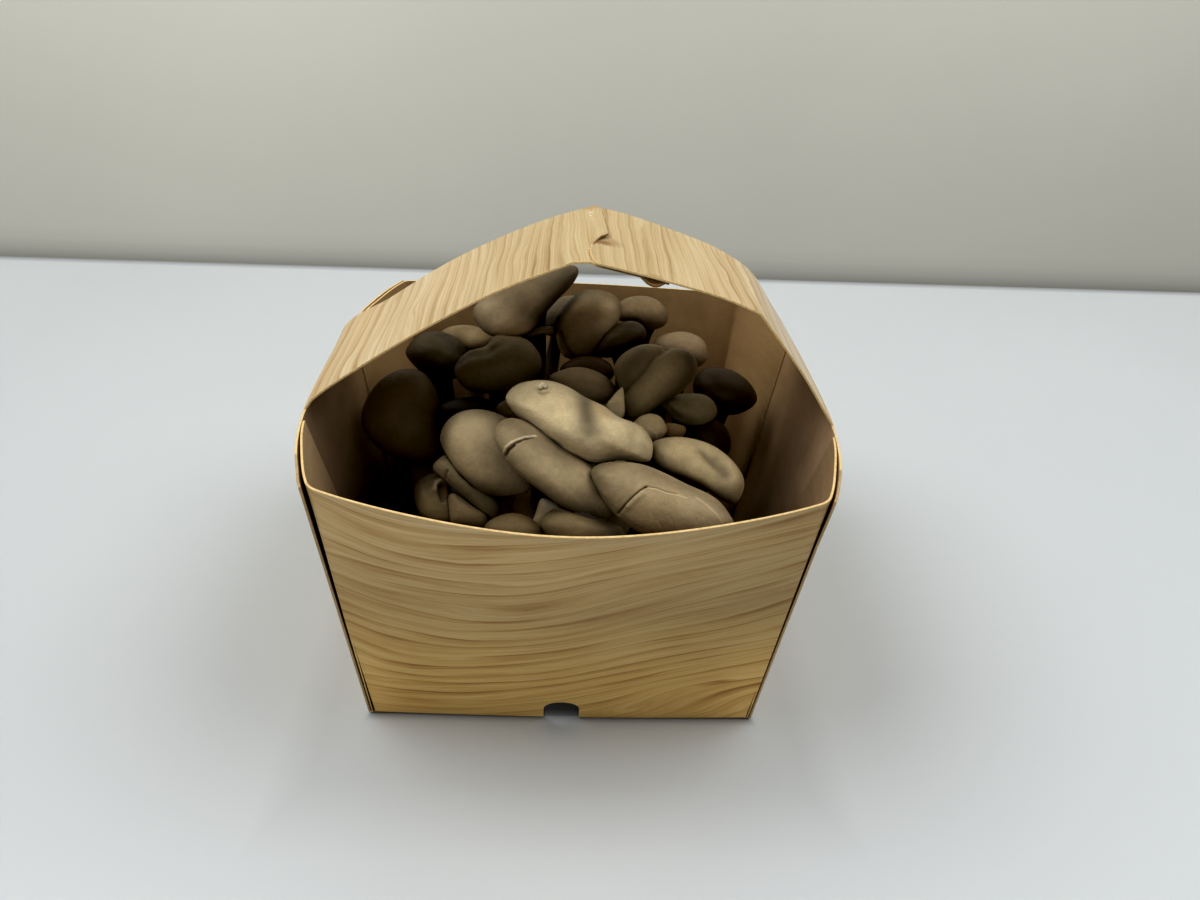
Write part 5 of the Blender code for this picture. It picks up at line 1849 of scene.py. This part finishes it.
# How far round the edge, towards the stem, the skin gives way to the gills' flesh.
FLESH_FROM = 0.18
FLESH_OVER = 0.2


def cap_skin(cap):
    """Skin colours: the dome's own with blotches, paler flesh on the gills, and the marks, then painted
    shade at the rim and where other caps cover the space above.
    """
    base = np.array(cap.base)
    seed = name_seed(cap.name) + 3
    blotch = sum(wobble(cap.points, seed + index, size) * share
                 for index, (size, share) in enumerate(BLOTCHES))
    warm = wobble(cap.points, seed + len(BLOTCHES), WARM_SIZE)[:, None] * np.array(WARM_SHIFT)
    colours = base * (1.0 + blotch[:, None] + warm)
    flesh = np.array(PALE_FLESH if base.sum() > PALE_SUM else DARK_FLESH)
    colours = lerp(colours, flesh, smooth((cap.under - FLESH_FROM) / FLESH_OVER)[:, None])
    rim = smooth((cap.edge - RIM_FROM) / (1.0 - RIM_FROM)) * (cap.under < FLESH_OVER)
    colours *= (1.0 - RIM_SHADE * rim)[:, None]
    for colour, share in cap.marks:
        colours = lerp(colours, np.array(colour), share[:, None])
    # Painted shade where other caps cover the space above; dark and small caps get less of it.
    floor = DIM_SHADE_FLOOR if cap.name.startswith("small") or sum(cap.base) < PALE_SUM else OPEN_SHADE_FLOOR
    colours *= lerp(floor, 1.0, cap.open ** OPEN_SHADE_POWERS.get(cap.name, OPEN_SHADE_POWER))[:, None]
    return np.clip(colours, 0.0, 1.0)


# The small cut stub on the uppermost cap: its pixel, then its lumps as (right, up, out, radius) in mm.
STUB_PIXEL = (542.6, 387.6)
STUB_LUMPS = ((-0.75, -0.4, 0.7, 0.95), (0.1, 0.1, 1.0, 0.95), (0.4, 0.95, 0.5, 0.9),
              (0.9, -0.2, 0.4, 0.8))
STUB_GRID = (40, 22)
STUB_CORE = 0.3
STUB_DEPTH = 0.9
STUB_SHADE_FROM = 0.5
STUB_SHADE_OVER = 1.2
STUB_SHADE = 0.6


def build_stub(tree, material):
    """One skin around all the lumps, where the camera's ray meets the cap."""
    hit, normal, _, _ = tree.ray_cast(*pixel_ray(STUB_PIXEL))
    out = np.array(normal)
    right = unit(np.array(CAMERA_RIGHT) - out * (np.array(CAMERA_RIGHT) @ out))
    up = np.cross(out, right)
    lumps = [(right * x + up * y + out * z, radius) for x, y, z, radius in STUB_LUMPS]
    middle = np.mean([centre for centre, _ in lumps], axis=0)
    segments, rings = STUB_GRID
    points, radial = [middle], [(0.0, 0.0, 1.0)]
    for row in range(1, rings):
        latitude = math.pi * (0.5 - row / rings)
        for turn in full_turn(segments):
            ray = (math.cos(latitude) * (math.cos(turn) * right + math.sin(turn) * up)
                   + math.sin(latitude) * out)
            reach = STUB_CORE
            for centre, radius in lumps:
                ahead = (centre - middle) @ ray
                inside = ahead * ahead - (centre - middle) @ (centre - middle) + radius * radius
                if inside > 0.0:
                    reach = max(reach, ahead + math.sqrt(inside))
            points.append(middle + ray * reach)
            radial.append((math.cos(turn), math.sin(turn), row / rings))
    points[0] = middle + out * max(float((point - middle) @ out) for point in points[1:segments + 1])
    points.append(middle - out * STUB_DEPTH)
    radial.append((0.0, 0.0, 0.0))
    tip = len(points) - 1
    faces = fan(0, 1, segments) + ring_faces(rings - 1, segments, start=1, downward=True)
    faces += fan(tip, tip - segments, segments, downward=True)
    points = np.array(points)
    # Painted shade on the stub's lower side.
    low = smooth((STUB_SHADE_FROM - (points - middle) @ out) / STUB_SHADE_OVER)[:, None]
    skin = lerp(np.array(NUB), np.array(CUT_SHADE), STUB_SHADE * low)
    obj = make_object("cap_stub_skin", points + np.array(hit), faces, [material],
                      attributes=skin_attributes(skin, radial))
    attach(obj, "root")


# Stems: where they start, as shares of the foot's reach and height, and their shape.
STEM_GRID = (40, 30)
STEM_START = 0.66
STEM_START_HEIGHT = 0.45
STEM_TOP_DROP = 0.12
STEM_NECK = 0.86
STEM_NECK_AT = 0.7
STEM_FLARE_FROM = 0.74
STEM_RIBS = 20
STEM_RIB_SIZE = 0.035
STEM_RIBS_FROM = 0.6
STEM_SHADE_FROM = 0.1
STEM_SHADE_OVER = 0.6
STEM_BEND = 0.34
STEM_LOW_RADIUS = 9.0
STEM_TOP_RADIUS = 6.4
STEM_TOP_SHARE = 0.30
STEM_FLARE = 0.13
FOOT_GRID = (96, 40)
FOOT_ROUND = 0.7
FOOT_TOP = 0.98
FOOT_RIPPLE = 0.05
FOOT_LUMP_SIZE = 26.0
FOOT_LUMP_LEVEL = 0.55
FOOT_LUMP_LIMIT = 0.3
FOOT_LUMP_HEIGHT = 3.0
FOOT_SHRINK = 0.9
FOOT_FIRM_HEIGHT = 8.0


def build_stem(cap, foot):
    """A ribbed stem from the foot up to the cap, wider where it meets either of them."""
    centre_x, centre_y, half_x, half_y, height = foot
    up = cap.turn[:, 2]
    top = cap.middle - up * cap.thickness * STEM_TOP_DROP
    away = np.array([(top[0] - centre_x) / half_x, (top[1] - centre_y) / half_y])
    away *= STEM_START / max(1.0, float(np.hypot(*away)))
    bottom = np.array([centre_x + away[0] * half_x, centre_y + away[1] * half_y,
                       FOOT_BOTTOM + height * STEM_START_HEIGHT])
    bend = top - up * np.linalg.norm(top - bottom) * STEM_BEND
    segments, rings = STEM_GRID
    top_radius = min(STEM_TOP_SHARE * cap.width, STEM_TOP_RADIUS)
    seed = name_seed(cap.name) + 7
    points, radial = [], []
    side = None
    for row in range(rings):
        share = row / (rings - 1)
        middle = curve_corner(bottom, bend, top, share)
        tangent = unit(2 * (1 - share) * (bend - bottom) + 2 * share * (top - bend))
        if side is None:
            side = np.cross(tangent, (0.0, 1.0, 0.0))
        side = unit(side - tangent * (side @ tangent))
        other = np.cross(tangent, side)
        radius = lerp(STEM_LOW_RADIUS, top_radius * STEM_NECK, smooth(share / STEM_NECK_AT))
        radius += STEM_FLARE * cap.width * smooth((share - STEM_FLARE_FROM) / (1.0 - STEM_FLARE_FROM))
        for turn in full_turn(segments):
            ridge = 1.0 + 0.05 * math.cos(3 * turn + seed)
            ridge += 0.03 * math.cos(5 * turn + 2 * seed + 3 * share)
            ribs = smooth((share - STEM_RIBS_FROM) / (1.0 - STEM_RIBS_FROM))
            ridge += STEM_RIB_SIZE * math.cos(STEM_RIBS * turn) * ribs
            points.append(middle + radius * ridge * (math.cos(turn) * side + math.sin(turn) * other))
            radial.append((math.cos(turn), math.sin(turn), share * 3.0 + seed))
    faces = [tuple(range(segments))[::-1]]
    faces += ring_faces(rings, segments)
    faces.append(tuple(range((rings - 1) * segments, rings * segments)))
    points = np.array(points)
    share = np.repeat(np.arange(rings) / (rings - 1), segments)[:, None]
    # Painted shade towards the cap.
    dark = smooth((share - STEM_SHADE_FROM) / STEM_SHADE_OVER)
    skin = lerp(np.array(STEM_LOW[cap.cluster]), np.array(STEM_SHADED_TOP), dark)
    return points, faces, radial, skin


def build_mushrooms(pale, dark, flesh):
    trees = build_caps()
    for cap, tree in trees:
        small = cap.name.startswith("small_cap")
        material = pale if sum(cap.base) > PALE_SUM else dark
        obj = make_object(f"{cap.name}_skin", cap.points, cap.faces, [material],
                          attributes=skin_attributes(cap_skin(cap), cap.radial))
        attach(obj, "root")
        if not small:
            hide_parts(cap.name)
        points, faces, radial, skin = build_stem(cap, FEET[cap.cluster])
        for other, other_tree in trees:
            if other is not cap:
                push_out(points, other, other_tree, SKIN_GAP)
        stem_name = cap.name.replace("cap_", "stem_")
        obj = make_object(f"{stem_name}_flesh", points, faces, [flesh],
                          attributes=skin_attributes(skin, radial))
        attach(obj, "root")
        if not small:
            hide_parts(stem_name)
        if cap.name == "cap_long_top":
            build_stub(tree, pale)
    for cluster, foot in FEET.items():
        build_foot(cluster, foot, flesh)


def build_foot(cluster, foot, material):
    """A lumpy mound of grown-together flesh with a flat cut underside."""
    centre_x, centre_y, half_x, half_y, height = foot
    segments, rings = FOOT_GRID
    points, radial = [], []
    for row in range(rings):
        latitude = 0.5 * math.pi * row / rings
        radius = math.cos(latitude) ** FOOT_ROUND
        for turn in full_turn(segments):
            ripple = 1.0 + FOOT_RIPPLE * math.sin(3 * turn + centre_x) - 0.02
            x = half_x * radius * ripple * math.cos(turn)
            y = half_y * radius * ripple * math.sin(turn)
            z = FOOT_BOTTOM + height * math.sin(latitude) * FOOT_TOP
            points.append((centre_x + x, centre_y + y, z))
            radial.append((2.5 * math.cos(turn), 2.5 * math.sin(turn), 3.0 * row / rings))
    points.append((centre_x, centre_y, FOOT_BOTTOM + height * FOOT_TOP))
    radial.append((0.0, 0.0, 3.0))
    points = np.array(points)
    outward = unit(points - np.array((centre_x, centre_y, FOOT_BOTTOM)), 1e-9)
    lumps = np.abs(wobble(points, len(cluster), FOOT_LUMP_SIZE)) - FOOT_LUMP_LEVEL
    raised = smooth((points[:, 2] - FOOT_BOTTOM) / FOOT_FIRM_HEIGHT)
    lumps = np.minimum(lumps, FOOT_LUMP_LIMIT) * FOOT_LUMP_HEIGHT * raised
    points += outward * (lumps - FOOT_SHRINK * raised)[:, None]
    faces = [tuple(range(segments))[::-1]]
    faces += ring_faces(rings, segments)
    faces += fan(rings * segments, (rings - 1) * segments, segments)
    skin = np.tile(np.array(FOOT_FLESH), (len(points), 1))
    obj = make_object(f"{cluster}_foot_flesh", points, faces, [material],
                      attributes=skin_attributes(skin, radial))
    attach(obj, "root")
    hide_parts(f"{cluster}_cluster_foot")


# The carton's pieces.

card = [card_print(), card_board(), card_edge()]
ends = build_ends(card)
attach(ends, "root")
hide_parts("base_panel", "front_panel", "back_panel", "glue_flap_front_left",
            "glue_flap_back_left", "glue_flap_front_right", "glue_flap_back_right")
for side, wall, arm in ((-1, "left_wall", "handle_arm_left"), (1, "right_wall", "handle_arm_right")):
    lining = card_board(f"{wall}_board", side)
    piece = build_side(side, [card[0], lining, card_edge(f"{wall}_edge", side)])
    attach(piece, "root")
    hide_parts(wall, arm)

build_mushrooms(mushroom_skin("pale_skin", 0.5, 0.16, 0.16),
                mushroom_skin("dark_skin", 0.46, 0.3, 0.2), stem_flesh())


# Floor, backdrop, light and camera.

def add_plane(name, corners, material):
    make_object(name, corners, [(0, 1, 2, 3)], [material])


TABLE_Z = -0.2
BACKDROP_Y = 900.0
BACKDROP_LOW = -1200.0
BACKDROP_HIGH = 1600.0
add_plane("table", [(-STAGE_REACH, -STAGE_REACH, TABLE_Z), (STAGE_REACH, -STAGE_REACH, TABLE_Z),
                    (STAGE_REACH, TABLE_EDGE_ENDS[1], TABLE_Z),
                    (-STAGE_REACH, TABLE_EDGE_ENDS[0], TABLE_Z)],
          plain_material("table_top", srgb(195, 198, 200), 0.45, table_shade))
add_plane("backdrop", [(-STAGE_REACH, BACKDROP_Y, BACKDROP_LOW), (STAGE_REACH, BACKDROP_Y, BACKDROP_LOW),
                       (STAGE_REACH, BACKDROP_Y, BACKDROP_HIGH),
                       (-STAGE_REACH, BACKDROP_Y, BACKDROP_HIGH)],
          plain_material("backdrop_paint", srgb(232, 231, 220), 0.9, wall_shade))


# Lights: name, place in metres, size in metres and power in watts.
LIGHT_TARGET = (0.0, 0.0, 0.05)
LIGHTS = (
    ("left_ceiling_light", (-0.9, 0.0, 1.4), 1.2, 16.8),
    ("right_ceiling_light", (0.9, 0.0, 1.4), 1.2, 13.9),
    ("room_light", (0.1, -1.6, 0.9), 1.0, 4.7),
)
WORLD_COLOUR = (0.97, 0.99, 1.0, 1.0)
WORLD_STRENGTH = 0.312
GAMMA = 0.78
BLACK_LEVEL = 0.0085


def add_area(name, place, size, power):
    data = bpy.data.lights.new(name, "AREA")
    data.shape = "DISK"
    data.size = size
    data.energy = power
    obj = bpy.data.objects.new(name, data)
    obj.location = place
    direction = Vector(LIGHT_TARGET) - Vector(place)
    obj.rotation_euler = direction.to_track_quat("-Z", "Y").to_euler()
    bpy.context.scene.collection.objects.link(obj)


for light in LIGHTS:
    add_area(*light)
world = bpy.data.worlds.new("studio")
bpy.context.scene.world = world
world.use_nodes = True
background = world.node_tree.nodes["Background"]
background.inputs["Color"].default_value = WORLD_COLOUR
background.inputs["Strength"].default_value = WORLD_STRENGTH

camera_data = bpy.data.cameras.new("camera")
camera_data.sensor_width = SENSOR
camera_data.lens = FOCAL_PIXELS / IMAGE_WIDTH * SENSOR
camera_data.clip_start = 0.01
camera = bpy.data.objects.new("camera", camera_data)
bpy.context.scene.collection.objects.link(camera)
camera_up = tuple(-value for value in CAMERA_DOWN)
camera_back = tuple(-value for value in CAMERA_FORWARD)
axes = Matrix((CAMERA_RIGHT, camera_up, camera_back)).transposed()
camera.matrix_world = Matrix.Translation(Vector(CAMERA_PLACE) * MM) @ axes.to_4x4()
bpy.context.scene.camera = camera
view = bpy.context.scene.view_settings
view.view_transform = "Standard"
view.look = "None"
view.gamma = GAMMA
view.use_curve_mapping = True
tone = view.curve_mapping
tone.black_level = (BLACK_LEVEL, BLACK_LEVEL, BLACK_LEVEL)
tone.update()
